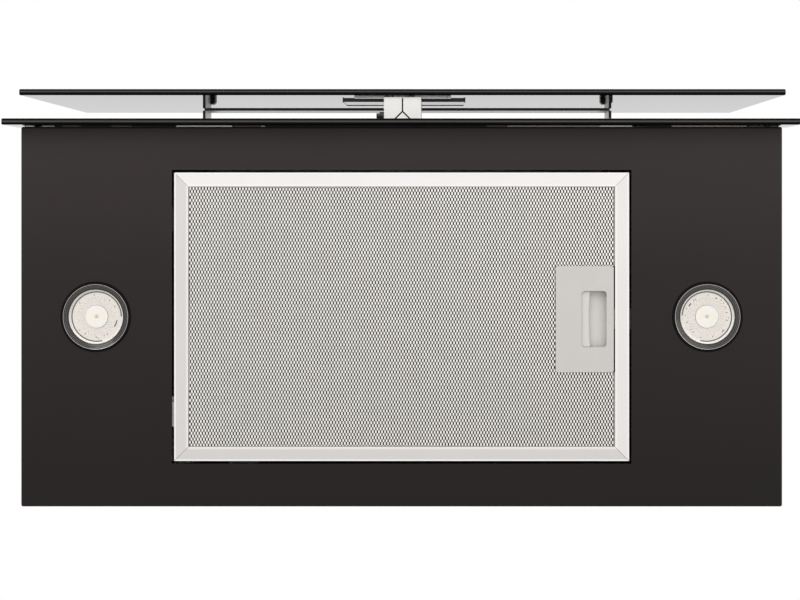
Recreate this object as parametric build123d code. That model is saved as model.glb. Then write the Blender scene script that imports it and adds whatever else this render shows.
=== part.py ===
"""Range hood insert: a cabinet-mounted extractor seen from below.

Frame: +X to the right, -Y to the front (the glass side), +Z up, millimetres.
The origin is the centre of the plane where the tray's rim meets the underside
of the kitchen cabinet: what is above z = 0 stands inside the cabinet.
The front glass panel is modelled slid out, as it stands in use.
"""

from build123d import *
import os
from math import cos, radians, sin, sqrt

# ---------------------------------------------------------------- driving sizes
# glass front
GLASS_W = 598.0          # width of the sliding panel
STRIP_W = 600.0          # width of the fixed strip
GLASS_T = 4.8            # glass thickness
GLASS_EDGE = 1.5         # ground edge, a chamfer
GLASS_CORNER_R = 2.0     # rounded corners seen from the front
STRIP_H = 34.5           # height of the fixed strip
STRIP_HANG = 15.0        # how far the strip hangs below the tray
TAPE_T = 0.5             # bonding tape between strip and tray
TAPE_SPANS = [(-288.0, -281.5), (-272.0, -176.0), (-133.0, -119.0),
              (-107.0, 155.0), (186.0, 211.0), (262.0, 288.0)]
PANEL_H = 180.0          # height of the sliding panel
PANEL_GAP = 1.5          # seam between strip and closed panel
PANEL_TRAVEL = 25.4      # slide of the panel

# tray (the visible bottom)
TRAY_W = 581.0
TRAY_D = 290.0
TRAY_H = 18.0
TRAY_BEND_R = 1.6
TRAY_LIP = 12.0          # return lip that meets the cabinet
SHEET_T = 1.0            # sheet steel of tray and casing

# grease filter
FILTER_W = 347.0
FILTER_D = 220.0
FILTER_T = 9.0
FILTER_GAP_X = 1.75      # clearance to the tray's opening, each side
FILTER_GAP_Y = 2.05
FILTER_SINK = 0.4        # frame face above the tray's underside
RAIL_FACE = 10.6         # visible width of the frame
RAIL_T = 0.8
MITRE_GAP = 0.15         # each side of a mitre line
MESH_OUTER_T = 1.2       # expanded sheets either side of the core
MESH_PLAY = 0.1          # play between mesh pack and frame

# filter latch
LATCH_W = 44.2
LATCH_L = 81.0
LATCH_GAP = 1.1          # between the latch plate and the frame's bar
LATCH_Y = 1.8            # centre of the latch plate
LATCH_WALL = 1.6
LATCH_FACE_T = 1.4
PULL_W = 19.2            # finger pull window
PULL_L = 43.0
PULL_INSET = 5.4         # from the latch plate's right-hand edge
PULL_R = 2.5
GRIP_W = 6.4             # slider's grip, in the left of the window
GRIP_HOLLOW = 0.9        # depth of the grip's hollow edge
SLIDER_T = 1.5
SLIDER_EDGE = 2.0        # slider plate beyond the window's ends
SLIDER_PLAY = 0.3
TONGUE_W = 16.0          # latch tongue, along Y
TONGUE_REACH = 4.0       # how far it goes over the tray's edge
SPRING_T = 0.3           # latch return spring, a folded strip
SPRING_W = 12.0
SPRING_RISE = 3.6        # height of its folds
SPRING_FOLDS = 6

# hooks at the filter's left side
HOOK_W = 19.0
HOOK_Y = 74.5            # hooks at +/- this
HOOK_T = 0.8
HOOK_REACH = 6.0

# lamps
LAMP_X = 233.2
LAMP_RIM_R = 25.15
LAMP_RIM_T = 1.2
LAMP_TUBE_R = 22.8       # bezel tube, outside
LAMP_VIEW_R = 20.6       # what shows of the lens
LAMP_WALL = 1.4
LAMP_RECESS = 2.4        # shoulder above the tray's underside
LAMP_TUBE_H = 14.0
LENS_T = 2.0
LENS_BOSS_R = 8.8        # raised centre of the lens
LENS_BOSS_H = 0.6
LED_CAN_H = 10.0
LED_FIN_R = 17.0
LED_FIN_H = 8.0
LED_FIN_T = 1.6
LED_FIN_PITCH = 6.0
LED_FIN_ROWS = 2         # fins each side of the middle one
LED_SIDES = 24           # facets of the hidden can
LED_CORE = 14.0          # square core that joins the fins
CLIP_W = 8.0
CLIP_T = 0.6
CLIP_FOOT = 8.0
LAMP_HOLE_PLAY = 0.3

# casing above the tray
CASING_W = 540.0
CASING_TOP = 190.2       # top of the cover
CASING_REAR_INSET = 13.0 # rear wall inside the tray's rear edge
CASING_FOOT = 8.0        # foot flange on the tray
CASING_EDGE = 12.0       # inner edge flange of a wall
COVER_T = 1.2
COVER_SKIRT = 10.0
COVER_PLAY = 0.2
COVER_SCREW_PITCH = 90.0 # pitch of the cover's screws along each side
SLOT_PLAY_Z = 2.0        # above and below an arm in the front wall's slot
BOX_HOLE_PLAY = 3.0      # round the control box in the front wall

# panel carrier
CARRIER_X = 182.0        # arms at +/- this
CARRIER_T = 1.2
CARRIER_H = 28.0
CARRIER_Z0 = 142.0       # lower edge of bar and arms
CARRIER_LUG = 22.0       # bent end of the bar, along the arm
SLOT_HALF = 2.8          # half width of the front wall's arm slots
ARM_TAB = 6.0            # bent stop tab at the arm's rear end
BUMPER_W = 11.0
BUMPER_L = 11.0
BUMPER_SEAT = 2.0        # reach down over the arm's upper edge
BUMPER_OFF = 7.0         # free space between glass and bumper
BUMPER_DROP = 2.0        # top below the cover's skirt, which it passes
BUMPER_R = 1.8           # chamfered corners
STOP_GAP = 0.3           # left at both stops

# control unit on the glass
BOARD_W = 100.0
BOARD_H = 55.0
BOARD_T = 2.1
BOARD_Z0 = 45.5
FLANGE_W = 75.8
FLANGE_H = 36.0
FLANGE_T = 1.3
FLANGE_Z0 = 9.0
BOX_W = 29.0
BOX_L = 25.6
BOX_H = 38.0
BOX_Z0 = 5.0
BOX_T = 1.0
BOX_SLIT = 1.1
FLANGE_CLIPS = [(-14.0, -11.0), (-8.5, -6.9), (4.4, 9.0)]
BUSH_R = 3.0
BUSH_L = 6.0
BUSH_TIP_L = 2.5

# guide rails and glides
RAIL_SHEET = 1.5
RAIL_LEN = 112.0
RAIL_FLANGE = 15.0
RAIL_SCREW_PITCH = 67.0  # pitch of a rail's two screws
GLIDE_L = 18.0
GLIDE_W = 7.0
GLIDE_PLAY = 0.3
GLIDE_RIM = 4.0
GLIDE_SPAN = 66.0        # between the glides' centres

# blower
BLOWER_Y = -25.0         # impeller axis
BLOWER_Z = 96.0
SCROLL_R = 77.0          # scroll radius at the tongue
SCROLL_STEP = 10.0       # growth per quarter turn
VOLUTE_W = 124.0
VOLUTE_T = 2.0
VOLUTE_RIM = 8.0
INLET_R = 52.0
INLET_LIP = 4.0
IMPELLER_R = 70.0
IMPELLER_W = 112.0
BLADE_DEPTH = 12.0
BLADE_T = 0.8
BLADE_TIP_IN = 0.6       # blade tips inside the rings' edge
BLADE_ROOT_IN = 0.6      # blade roots outside the rings' bore
BLADES = 28
BLADE_LEAN = 10.0        # degrees, tip ahead of root
RING_T = 2.0
HUB_R = 12.0
SHAFT_R = 4.0
SHAFT_PLAY = 0.05
SHAFT_TAIL = 3.0         # out of the hub
MOTOR_R = 42.0
MOTOR_X0 = 8.0
MOTOR_L = 44.0
MOTOR_EDGE = 4.0
BRACKET_T = 2.0
BRACKET_ARM_W = 16.0
BRACKET_ARMS = 3
BRACKET_INSET = 4.0      # risers inside the inlet's edge
GROMMET_R = 6.0
GROMMET_T = 5.0

# outlet collar and flaps
COLLAR_Y = 28.5
COLLAR_R = 74.5          # outside: a 150 mm duct slides over it
COLLAR_WALL = 2.5
COLLAR_TUBE = 42.0
COLLAR_FLANGE_R = 88.0
COLLAR_FLANGE_T = 3.0
LEDGE_W = 6.0
LEDGE_T = 2.5
BRIDGE_W = 3.0
FLAP_T = 1.2
FLAP_PLAY = 1.5
FLAP_LIFT = 0.4          # above the ledge
HINGE_X = 3.9
BARREL_R = 2.0
PIN_R = 1.5
PIN_PLAY = 0.05
PIN_REACH = 1.3          # journals into the collar's wall

# electrics
EBOX_DEPTH = 44.0        # out from the rear wall
EBOX_LENGTH = 90.0       # along X
EBOX_H = 70.0
EBOX_X = -262.0          # left-hand end
EBOX_Z0 = 40.0
EBOX_T = 2.0
EBOX_R = 3.0
PCB_T = 1.6
PCB_STAND_OFF = 5.0
PCB_INSET = 6.0          # from the box's outside to the board's edge
RELAYS = 3
RELAY_W = 14.0
RELAY_H = 18.0
RELAY_PITCH = 18.0
TERMINAL_H = 10.0
CAP_R = 15.0
CAP_H = 60.0
CAP_X = -130.0
CAP_STEP = 6.0           # terminal block on top
CAP_Z0 = 40.0
STRAP_T = 1.0
STRAP_H = 12.0
STRAP_FOOT = 10.0
GLAND_X = -220.0
GLAND_INSET = 37.0       # in front of the rear wall
GLAND_R = 9.0
GLAND_BORE_R = 4.0
GLAND_H = 20.0
GLAND_SIDES = 12         # sides of the cap and the thread
GLAND_HEX = 1.35         # hexagon's corner radius over the thread's
GLAND_THREAD = 8.0       # thread below the cover
GLAND_NUT = 5.0

# fixing to the cabinet
CABINET_INSIDE = 564.0   # between the cabinet's side boards
CAB_HOLE_R = 2.6
CAB_HOLE_DY = 160.0
CAB_HOLE_DZ = 32.0
CAB_BRACKET_L = 200.0
CAB_BRACKET_H = 60.0
CAB_BRACKET_FOOT = 16.0
CAB_SCREW_PITCH = 160.0  # pitch of the screws in a bracket's feet
CAB_BRACKET_T = 1.5
CAB_BRACKET_Z = 80.0
DRIVER_HOLE_R = 7.0      # screwdriver access through the casing, over its corners

# fasteners
SCREW_R = 1.6
SCREW_HEAD_R = 3.4       # hexagon head, over its corners
SCREW_HEAD_H = 2.0
SCREW_LEN = 7.0
SCREW_PLAY = 0.15

# ---------------------------------------------------------------- derived sizes
TRAY_Z = -TRAY_H                                  # underside of the tray
FLOOR_Z = TRAY_Z + SHEET_T                        # upper side of the tray's floor
GLASS_BACK = -(TRAY_D / 2 + TAPE_T)               # back of strip and closed panel
STRIP_Z0 = TRAY_Z - STRIP_HANG
PANEL_Z0 = STRIP_Z0 + STRIP_H + PANEL_GAP
PANEL_BACK = GLASS_BACK - PANEL_TRAVEL            # back of the panel, slid out
OPENING_W = FILTER_W + 2 * FILTER_GAP_X
OPENING_D = FILTER_D + 2 * FILTER_GAP_Y
FILTER_Z = TRAY_Z + FILTER_SINK
LAMP_HOLE_R = LAMP_TUBE_R + LAMP_HOLE_PLAY
CASING_FRONT = GLASS_BACK + BUMPER_OFF + BUMPER_L + STOP_GAP
CASING_REAR = TRAY_D / 2 - CASING_REAR_INSET
WALL_TOP = CASING_TOP - COVER_T
WALL_IN = CASING_W / 2 - SHEET_T                  # inner face of a side wall
BUMPER_Z1 = WALL_TOP - COVER_SKIRT - BUMPER_DROP
COLLAR_IN_R = COLLAR_R - COLLAR_WALL
LEDGE_Z = CASING_TOP + LEDGE_T
FLAP_Z = LEDGE_Z + FLAP_LIFT
HINGE_Z = FLAP_Z + BARREL_R
GLAND_Y = CASING_REAR - GLAND_INSET
RAIL_X = CARRIER_X + GLIDE_W / 2                  # inner face of the rail's web
RAIL_Y0 = CASING_FRONT + SHEET_T
GLIDE_Y = RAIL_Y0 + GLIDE_L                       # centre of the front glide
ARM_Y1 = GLIDE_Y + GLIDE_SPAN + GLIDE_L / 2 + STOP_GAP + CARRIER_T
EBOX_SEAT = Pos(EBOX_X, CASING_REAR - SHEET_T, EBOX_Z0) * Rot(0, 0, -90)


# ---------------------------------------------------------------- small helpers
def block(x0, x1, y0, y1, z0, z1):
    """A box between two corners."""
    centre = Pos((x0 + x1) / 2, (y0 + y1) / 2, (z0 + z1) / 2)
    return centre * Box(x1 - x0, y1 - y0, z1 - z0)


def rod_x(x0, x1, y, z, radius):
    """A cylinder along X."""
    return Pos((x0 + x1) / 2, y, z) * Rot(0, 90, 0) * Cylinder(radius, x1 - x0)


def rod_y(x, y0, y1, z, radius):
    """A cylinder along Y."""
    return Pos(x, (y0 + y1) / 2, z) * Rot(90, 0, 0) * Cylinder(radius, y1 - y0)


def rod_z(x, y, z0, z1, radius):
    """A cylinder along Z."""
    return Pos(x, y, (z0 + z1) / 2) * Cylinder(radius, z1 - z0)


def prism_x(x0, x1, y, z, radius):
    """An eight-sided rod along X, which keeps the small screw holes light."""
    return Pos(x0, y, z) * Rot(0, 90, 0) * extrude(RegularPolygon(radius, 8), x1 - x0)


def prism_z(x, y, z0, z1, radius):
    """An eight-sided rod along Z."""
    return Pos(x, y, z0) * extrude(RegularPolygon(radius, 8), z1 - z0)


def turned(points):
    """A solid turned about Z from (radius, height) points."""
    face = make_face(Polyline(*points, close=True))
    return revolve(Plane.XZ * face, Axis.Z)


def mirrored(shape):
    """The right-hand twin of a left-hand piece."""
    return mirror(shape, Plane.YZ)


def screw(length=SCREW_LEN):
    """A hexagon-head sheet-metal screw, its head above z = 0 and its shank below."""
    head = extrude(RegularPolygon(SCREW_HEAD_R, 6), SCREW_HEAD_H)
    return head + prism_z(0, 0, -length, 0, SCREW_R)


def group(solids):
    """Identical pieces kept as separate solids of one node."""
    return Compound(children=list(solids))


parts = {}


def node(name, shape):
    """Register one finished piece."""
    parts[name] = shape


# ---------------------------------------------------------------- glass front
def glass(width, height, thickness, y_back, z0):
    """A glass plate standing in the XZ plane with ground edges."""
    plate = block(-width / 2, width / 2, y_back - thickness, y_back, z0, z0 + height)
    plate = fillet(plate.edges().filter_by(Axis.Y), GLASS_CORNER_R)
    rims = plate.faces().sort_by(Axis.Y)
    return chamfer(rims[0].edges() + rims[-1].edges(), GLASS_EDGE)


node("front_strip", glass(STRIP_W, STRIP_H, GLASS_T, GLASS_BACK, STRIP_Z0))
node("glass_panel", glass(GLASS_W, PANEL_H, GLASS_T, PANEL_BACK, PANEL_Z0))


def strip_tape():
    """Lengths of bonding tape between the strip and the tray's front flange."""
    tape_z0 = TRAY_Z + TRAY_BEND_R
    pieces = []
    for start, end in TAPE_SPANS:
        pieces.append(block(start, end, GLASS_BACK, -TRAY_D / 2, tape_z0, 0))
    return group(pieces)


node("strip_tape", strip_tape())


# ---------------------------------------------------------------- tray
def bottom_panel():
    """Folded tray with a return lip, the filter opening and two lamp holes."""
    half_w = TRAY_W / 2
    half_d = TRAY_D / 2
    outer = block(-half_w, half_w, -half_d, half_d, TRAY_Z, 0)
    uprights = outer.edges().filter_by(Axis.Z)
    outer = fillet(uprights, TRAY_BEND_R)
    outer = fillet(outer.faces().sort_by(Axis.Z)[0].edges(), TRAY_BEND_R)
    inner = block(-half_w + SHEET_T, half_w - SHEET_T, -half_d + SHEET_T, half_d - SHEET_T,
                  FLOOR_Z, -SHEET_T)
    inner = fillet(inner.edges().filter_by(Axis.Z), TRAY_BEND_R - SHEET_T)
    mouth = block(-half_w + TRAY_LIP, half_w - TRAY_LIP, -half_d + TRAY_LIP,
                  half_d - TRAY_LIP, -2 * SHEET_T, SHEET_T)
    opening = block(-OPENING_W / 2, OPENING_W / 2, -OPENING_D / 2, OPENING_D / 2,
                    TRAY_Z - SHEET_T, FLOOR_Z + SHEET_T)
    tray = outer - inner - mouth - opening
    for side in (-1, 1):
        tray -= rod_z(side * LAMP_X, 0, TRAY_Z - SHEET_T, FLOOR_Z + SHEET_T, LAMP_HOLE_R)
    return tray


node("bottom_panel", bottom_panel())


# ---------------------------------------------------------------- grease filter
def filter_bar(length):
    """One mitred bar of the frame: a channel along X that opens towards +Y."""
    half = length / 2
    face = block(-half, half, 0, RAIL_FACE, 0, RAIL_T)
    web = block(-half, half, 0, RAIL_T, 0, FILTER_T)
    back = block(-half, half, 0, RAIL_FACE, FILTER_T - RAIL_T, FILTER_T)
    corners = [(-half + MITRE_GAP, 0), (half - MITRE_GAP, 0),
               (half - RAIL_FACE - MITRE_GAP, RAIL_FACE),
               (-half + RAIL_FACE + MITRE_GAP, RAIL_FACE)]
    mitre = extrude(make_face(Polyline(*corners, close=True)), FILTER_T)
    return (face + web + back) & mitre


def tongue_window(play):
    """The space the latch tongue takes through the right-hand bar."""
    half = TONGUE_W / 2 + play
    return block(LATCH_X1 - LATCH_WALL, FILTER_W / 2 + RAIL_T, LATCH_Y - half, LATCH_Y + half,
                 TONGUE_Z0 - play, SLIDER_Z1 + play)


LATCH_X1 = FILTER_W / 2 - RAIL_FACE - LATCH_GAP
LATCH_X0 = LATCH_X1 - LATCH_W
PULL_X1 = LATCH_X1 - PULL_INSET
LATCH_TOP = FILTER_Z + FILTER_T
SLIDER_Z1 = LATCH_TOP - LATCH_FACE_T - SLIDER_PLAY
SLIDER_Z0 = SLIDER_Z1 - SLIDER_T
TONGUE_Z0 = FLOOR_Z + SLIDER_PLAY


def filter_frame():
    """Four mitred bars round the mesh pack."""
    front = Pos(0, -FILTER_D / 2, FILTER_Z) * filter_bar(FILTER_W)
    rear = Pos(0, FILTER_D / 2, FILTER_Z) * Rot(0, 0, 180) * filter_bar(FILTER_W)
    left = Pos(-FILTER_W / 2, 0, FILTER_Z) * Rot(0, 0, -90) * filter_bar(FILTER_D)
    right = Pos(FILTER_W / 2, 0, FILTER_Z) * Rot(0, 0, 90) * filter_bar(FILTER_D)
    right -= tongue_window(SLIDER_PLAY)
    return group([front, rear, left, right])


node("filter_frame", filter_frame())


def mesh_layer(z0, z1):
    """One layer of the mesh pack, cut out round the latch and its tongue."""
    half_w = FILTER_W / 2 - RAIL_T - MESH_PLAY
    half_d = FILTER_D / 2 - RAIL_T - MESH_PLAY
    layer = block(-half_w, half_w, -half_d, half_d, z0, z1)
    seat = block(LATCH_X0 - MESH_PLAY, LATCH_X1 + MESH_PLAY,
                 LATCH_Y - LATCH_L / 2 - MESH_PLAY, LATCH_Y + LATCH_L / 2 + MESH_PLAY,
                 z0 - 1, z1 + 1)
    notch_half = TONGUE_W / 2 + 2 * SLIDER_PLAY
    notch = block(LATCH_X1, FILTER_W / 2, LATCH_Y - notch_half, LATCH_Y + notch_half,
                  z0 - 1, z1 + 1)
    return layer - seat - notch


MESH_Z0 = FILTER_Z + RAIL_T + MESH_PLAY
MESH_Z1 = FILTER_Z + FILTER_T - RAIL_T - MESH_PLAY
node("mesh_outer", mesh_layer(MESH_Z0, MESH_Z0 + MESH_OUTER_T))
node("mesh_core", mesh_layer(MESH_Z0 + MESH_OUTER_T, MESH_Z1 - MESH_OUTER_T))
node("mesh_inner", mesh_layer(MESH_Z1 - MESH_OUTER_T, MESH_Z1))


def latch_plate():
    """Moulded latch housing in the mesh, with its finger window and slider chamber."""
    half = LATCH_L / 2
    housing = block(LATCH_X0, LATCH_X1, LATCH_Y - half, LATCH_Y + half, FILTER_Z, LATCH_TOP)
    housing = fillet(housing.edges().filter_by(Axis.Z), LATCH_FACE_T)
    chamber = block(LATCH_X0 + LATCH_WALL, LATCH_X1 - LATCH_WALL,
                    LATCH_Y - half + LATCH_WALL, LATCH_Y + half - LATCH_WALL,
                    FILTER_Z + LATCH_FACE_T, LATCH_TOP - LATCH_FACE_T)
    window = block(PULL_X1 - PULL_W, PULL_X1, LATCH_Y - PULL_L / 2, LATCH_Y + PULL_L / 2,
                   FILTER_Z - 1, FILTER_Z + LATCH_FACE_T + 1)
    window = fillet(window.edges().filter_by(Axis.Z), PULL_R)
    return housing - chamber - window - tongue_window(SLIDER_PLAY)


node("latch_plate", latch_plate())


def latch_slider():
    """Spring-loaded slider: grip in the window, tongue over the tray's edge."""
    grip_x0 = PULL_X1 - PULL_W + SLIDER_PLAY / 2
    plate_half = PULL_L / 2 + SLIDER_EDGE
    plate = block(grip_x0, LATCH_X1 - LATCH_WALL - SLIDER_PLAY, LATCH_Y - plate_half,
                  LATCH_Y + plate_half, SLIDER_Z0, SLIDER_Z1)
    grip = block(grip_x0, grip_x0 + GRIP_W, LATCH_Y - PULL_L / 2 + SLIDER_PLAY,
                 LATCH_Y + PULL_L / 2 - SLIDER_PLAY,
                 FILTER_Z + LATCH_FACE_T + SLIDER_PLAY, SLIDER_Z0)
    hollow_r = (PULL_L / 2) ** 2 / (2 * GRIP_HOLLOW)
    grip -= rod_z(grip_x0 + GRIP_W - GRIP_HOLLOW + hollow_r, LATCH_Y,
                  FILTER_Z, SLIDER_Z0, hollow_r)
    neck = block(LATCH_X1 - LATCH_WALL - SLIDER_PLAY, FILTER_W / 2 - RAIL_T,
                 LATCH_Y - TONGUE_W / 2, LATCH_Y + TONGUE_W / 2, SLIDER_Z0, SLIDER_Z1)
    tip_x1 = OPENING_W / 2 + TONGUE_REACH
    tongue = block(FILTER_W / 2 - RAIL_T - SLIDER_T, tip_x1,
                   LATCH_Y - TONGUE_W / 2, LATCH_Y + TONGUE_W / 2, TONGUE_Z0, SLIDER_Z1)
    nose = tongue.edges().filter_by(Axis.Y).group_by(Axis.X)[-1].sort_by(Axis.Z)[0]
    tongue = chamfer(nose, TONGUE_REACH * 0.6)
    return plate + grip + neck + tongue


node("latch_slider", latch_slider())


def latch_spring():
    """Folded strip that pushes the slider to the right from the housing's left wall."""
    x0 = LATCH_X0 + LATCH_WALL + SLIDER_PLAY
    x1 = PULL_X1 - PULL_W - SLIDER_PLAY
    pitch = (x1 - x0 - 2 * SPRING_T) / SPRING_FOLDS
    z_low = FILTER_Z + (FILTER_T - SPRING_RISE) / 2
    lower = []
    for fold in range(SPRING_FOLDS + 1):
        x = x0 + SPRING_T + fold * pitch
        lower.append((x, z_low + (SPRING_RISE if fold % 2 else 0)))
    upper = [(x, z + SPRING_T * sqrt(2)) for x, z in lower]
    profile = make_face(Polyline(*lower, *reversed(upper), close=True))
    strip = extrude(Plane.XZ * profile, SPRING_W / 2, both=True)
    return Pos(0, LATCH_Y, 0) * strip


node("latch_spring", latch_spring())


def filter_hooks():
    """Two angle tabs that hang the filter's left side over the tray's edge."""
    x_web = -FILTER_W / 2
    z0 = FLOOR_Z + SLIDER_PLAY
    hooks = []
    for side in (-1, 1):
        y0 = side * HOOK_Y - HOOK_W / 2
        leg = block(x_web - HOOK_T, x_web, y0, y0 + HOOK_W, z0, LATCH_TOP - RAIL_T)
        tab = block(-OPENING_W / 2 - HOOK_REACH, x_web, y0, y0 + HOOK_W, z0, z0 + HOOK_T)
        hooks.append(leg + tab)
    return group(hooks)


node("filter_hooks", filter_hooks())


# ---------------------------------------------------------------- lamps
def lamp_bezel():
    """Bezel ring: visible rim below the tray, tube and lens shoulder above."""
    bore = LAMP_TUBE_R - LAMP_WALL
    points = [(LAMP_VIEW_R, -LAMP_RIM_T), (LAMP_RIM_R, -LAMP_RIM_T),
              (LAMP_RIM_R, 0), (LAMP_TUBE_R, 0),
              (LAMP_TUBE_R, LAMP_TUBE_H), (bore, LAMP_TUBE_H), (bore, LAMP_RECESS),
              (LAMP_VIEW_R, LAMP_RECESS)]
    return turned(points)


def lamp_lens():
    """Pressed lens with a raised centre."""
    edge = LAMP_TUBE_R - LAMP_WALL - MESH_PLAY
    face = LAMP_RECESS
    points = [(0, face - LENS_BOSS_H), (LENS_BOSS_R, face - LENS_BOSS_H),
              (LENS_BOSS_R + LENS_BOSS_H, face), (edge, face), (edge, face + LENS_T),
              (0, face + LENS_T)]
    return turned(points)


def led_module():
    """LED can with a finned back."""
    edge = LAMP_TUBE_R - LAMP_WALL - MESH_PLAY
    z0 = LAMP_RECESS + LENS_T
    z1 = z0 + LED_CAN_H
    can = Pos(0, 0, z0) * extrude(RegularPolygon(edge, LED_SIDES), LED_CAN_H)
    body = can + block(-LED_CORE / 2, LED_CORE / 2, -LED_CORE / 2, LED_CORE / 2,
                       z1, z1 + LED_FIN_H)
    for step in range(-LED_FIN_ROWS, LED_FIN_ROWS + 1):
        y = step * LED_FIN_PITCH
        reach = sqrt(LED_FIN_R ** 2 - y ** 2)
        body += block(-reach, reach, y - LED_FIN_T / 2, y + LED_FIN_T / 2, z1, z1 + LED_FIN_H)
    return body


def lamp_clips():
    """Two spring clips that hold one bezel against the tray's floor."""
    foot_z = SHEET_T + STOP_GAP / 2
    half = CLIP_W / 2
    clips = []
    for side in (-1, 1):
        leg = block(-half, half, LAMP_TUBE_R, LAMP_TUBE_R + CLIP_T, foot_z, LAMP_TUBE_H - 1)
        foot = block(-half, half, LAMP_TUBE_R, LAMP_TUBE_R + CLIP_FOOT, foot_z,
                     foot_z + CLIP_T)
        clips.append(Rot(0, 0, 90 - 90 * side) * (leg + foot))
    return clips


def place_lamps():
    """Both lamps at the tray's ends."""
    clips = []
    for name, side in (("left", -1), ("right", 1)):
        seat = Pos(side * LAMP_X, 0, TRAY_Z)
        node("lamp_bezel_" + name, seat * lamp_bezel())
        node("lamp_lens_" + name, seat * lamp_lens())
        node("led_module_" + name, seat * led_module())
        clips += [seat * clip for clip in lamp_clips()]
    node("lamp_clips", group(clips))


place_lamps()


# ---------------------------------------------------------------- casing
def cabinet_holes():
    """Hole centres (y, z) of one side's cabinet screws."""
    centres = []
    for dy in (-1, 1):
        for dz in (-1, 1):
            centres.append((dy * CAB_HOLE_DY / 2, CAB_BRACKET_Z + dz * CAB_HOLE_DZ / 2))
    return centres


def bracket_screw_places():
    """(y, z) of the screws that hold one cabinet bracket to the casing."""
    reach = CAB_BRACKET_H / 2 + CAB_BRACKET_FOOT / 2
    centres = []
    for dy in (-1, 1):
        for dz in (-1, 1):
            centres.append((dy * CAB_SCREW_PITCH / 2, CAB_BRACKET_Z + dz * reach))
    return centres


def bracket_screws():
    """Screws through both brackets' feet into the casing's side walls."""
    screws = []
    for side in (-1, 1):
        x = side * (CASING_W / 2 + CAB_BRACKET_T)
        for y, z in bracket_screw_places():
            screws.append(Pos(x, y, z) * Rot(0, 90 * side, 0) * screw())
    return group(screws)


def casing_side():
    """Left wall: foot flange outwards, cover flange inwards, driver holes."""
    x0 = -CASING_W / 2
    wall = block(x0, x0 + SHEET_T, CASING_FRONT, CASING_REAR, FLOOR_Z, WALL_TOP)
    foot = block(x0 - CASING_FOOT, x0, CASING_FRONT, CASING_REAR, FLOOR_Z, FLOOR_Z + SHEET_T)
    top = block(x0, x0 + CASING_EDGE, CASING_FRONT + SHEET_T, CASING_REAR - SHEET_T,
                WALL_TOP - SHEET_T, WALL_TOP)
    side = wall + foot + top
    for y, z in cabinet_holes():
        side -= prism_x(x0 - 1, x0 + SHEET_T + 1, y, z, DRIVER_HOLE_R)
    for y, z in bracket_screw_places():
        side -= prism_x(x0 - 1, x0 + SHEET_T + 1, y, z, SCREW_R + SCREW_PLAY)
    for y in cover_screw_rows():
        side -= prism_z(cover_screw_x(), y, WALL_TOP - 2, WALL_TOP + 1, SCREW_R + SCREW_PLAY)
    return side


def cover_screw_rows():
    """Y of the cover's screws."""
    return [-COVER_SCREW_PITCH, 0.0, COVER_SCREW_PITCH]


def cover_screw_x():
    """X of the cover's screws on the left."""
    return -CASING_W / 2 + CASING_EDGE / 2 + SHEET_T / 2


def casing_front():
    """Front wall with arm slots, the control box opening and a foot flange."""
    y0 = CASING_FRONT
    wall = block(-WALL_IN, WALL_IN, y0, y0 + SHEET_T, FLOOR_Z, WALL_TOP)
    foot = block(-WALL_IN, WALL_IN, y0 - CASING_FOOT, y0, FLOOR_Z, FLOOR_Z + SHEET_T)
    edge_z0 = FLOOR_Z + SHEET_T
    wall += foot
    for side in (-1, 1):
        outer = side * WALL_IN
        inner = side * (WALL_IN - SHEET_T)
        wall += block(min(outer, inner), max(outer, inner), y0, y0 + CASING_EDGE,
                      edge_z0, WALL_TOP - SHEET_T)
        slot_x = side * CARRIER_X
        wall -= block(slot_x - SLOT_HALF, slot_x + SLOT_HALF, y0 - 1, y0 + SHEET_T + 1,
                      CARRIER_Z0 - SLOT_PLAY_Z, CARRIER_Z0 + CARRIER_H + SLOT_PLAY_Z)
    reach = BOX_W / 2 + BUSH_L + BOX_HOLE_PLAY
    wall -= block(-reach, reach, y0 - 1, y0 + SHEET_T + 1,
                  BOX_Z0 - BOX_HOLE_PLAY, BOX_Z0 + BOX_H + BOX_HOLE_PLAY)
    return wall


def casing_rear():
    """Rear wall with its foot and edge flanges."""
    y1 = CASING_REAR
    wall = block(-WALL_IN, WALL_IN, y1 - SHEET_T, y1, FLOOR_Z, WALL_TOP)
    wall += block(-WALL_IN, WALL_IN, y1, y1 + CASING_FOOT, FLOOR_Z, FLOOR_Z + SHEET_T)
    for side in (-1, 1):
        outer = side * WALL_IN
        inner = side * (WALL_IN - SHEET_T)
        wall += block(min(outer, inner), max(outer, inner), y1 - CASING_EDGE, y1,
                      FLOOR_Z + SHEET_T, WALL_TOP - SHEET_T)
    return wall


def top_cover():
    """Cover with a skirt all round, the outlet hole and the gland hole."""
    half = CASING_W / 2 + COVER_PLAY + COVER_T
    y0 = CASING_FRONT - COVER_PLAY - COVER_T
    y1 = CASING_REAR + COVER_PLAY + COVER_T
    cover = block(-half, half, y0, y1, WALL_TOP - COVER_SKIRT, CASING_TOP)
    cover = chamfer(cover.faces().sort_by(Axis.Z)[-1].edges(), COVER_T / 2)
    cover -= block(-half + COVER_T, half - COVER_T, y0 + COVER_T, y1 - COVER_T,
                   WALL_TOP - COVER_SKIRT - 1, WALL_TOP)
    cover -= rod_z(0, COLLAR_Y, WALL_TOP - 1, CASING_TOP + 1, COLLAR_IN_R - LEDGE_W)
    cover -= rod_z(GLAND_X, GLAND_Y, WALL_TOP - 1, CASING_TOP + 1, GLAND_R + SCREW_PLAY)
    for x, y in cover_screw_places() + collar_screw_places() + rail_screw_places():
        cover -= prism_z(x, y, WALL_TOP - 1, CASING_TOP + 1, SCREW_R + SCREW_PLAY)
    return cover


def cover_screw_places():
    """(x, y) of the cover's screws."""
    places = []
    for side in (-1, 1):
        for y in cover_screw_rows():
            places.append((-side * cover_screw_x(), y))
    return places


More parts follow.
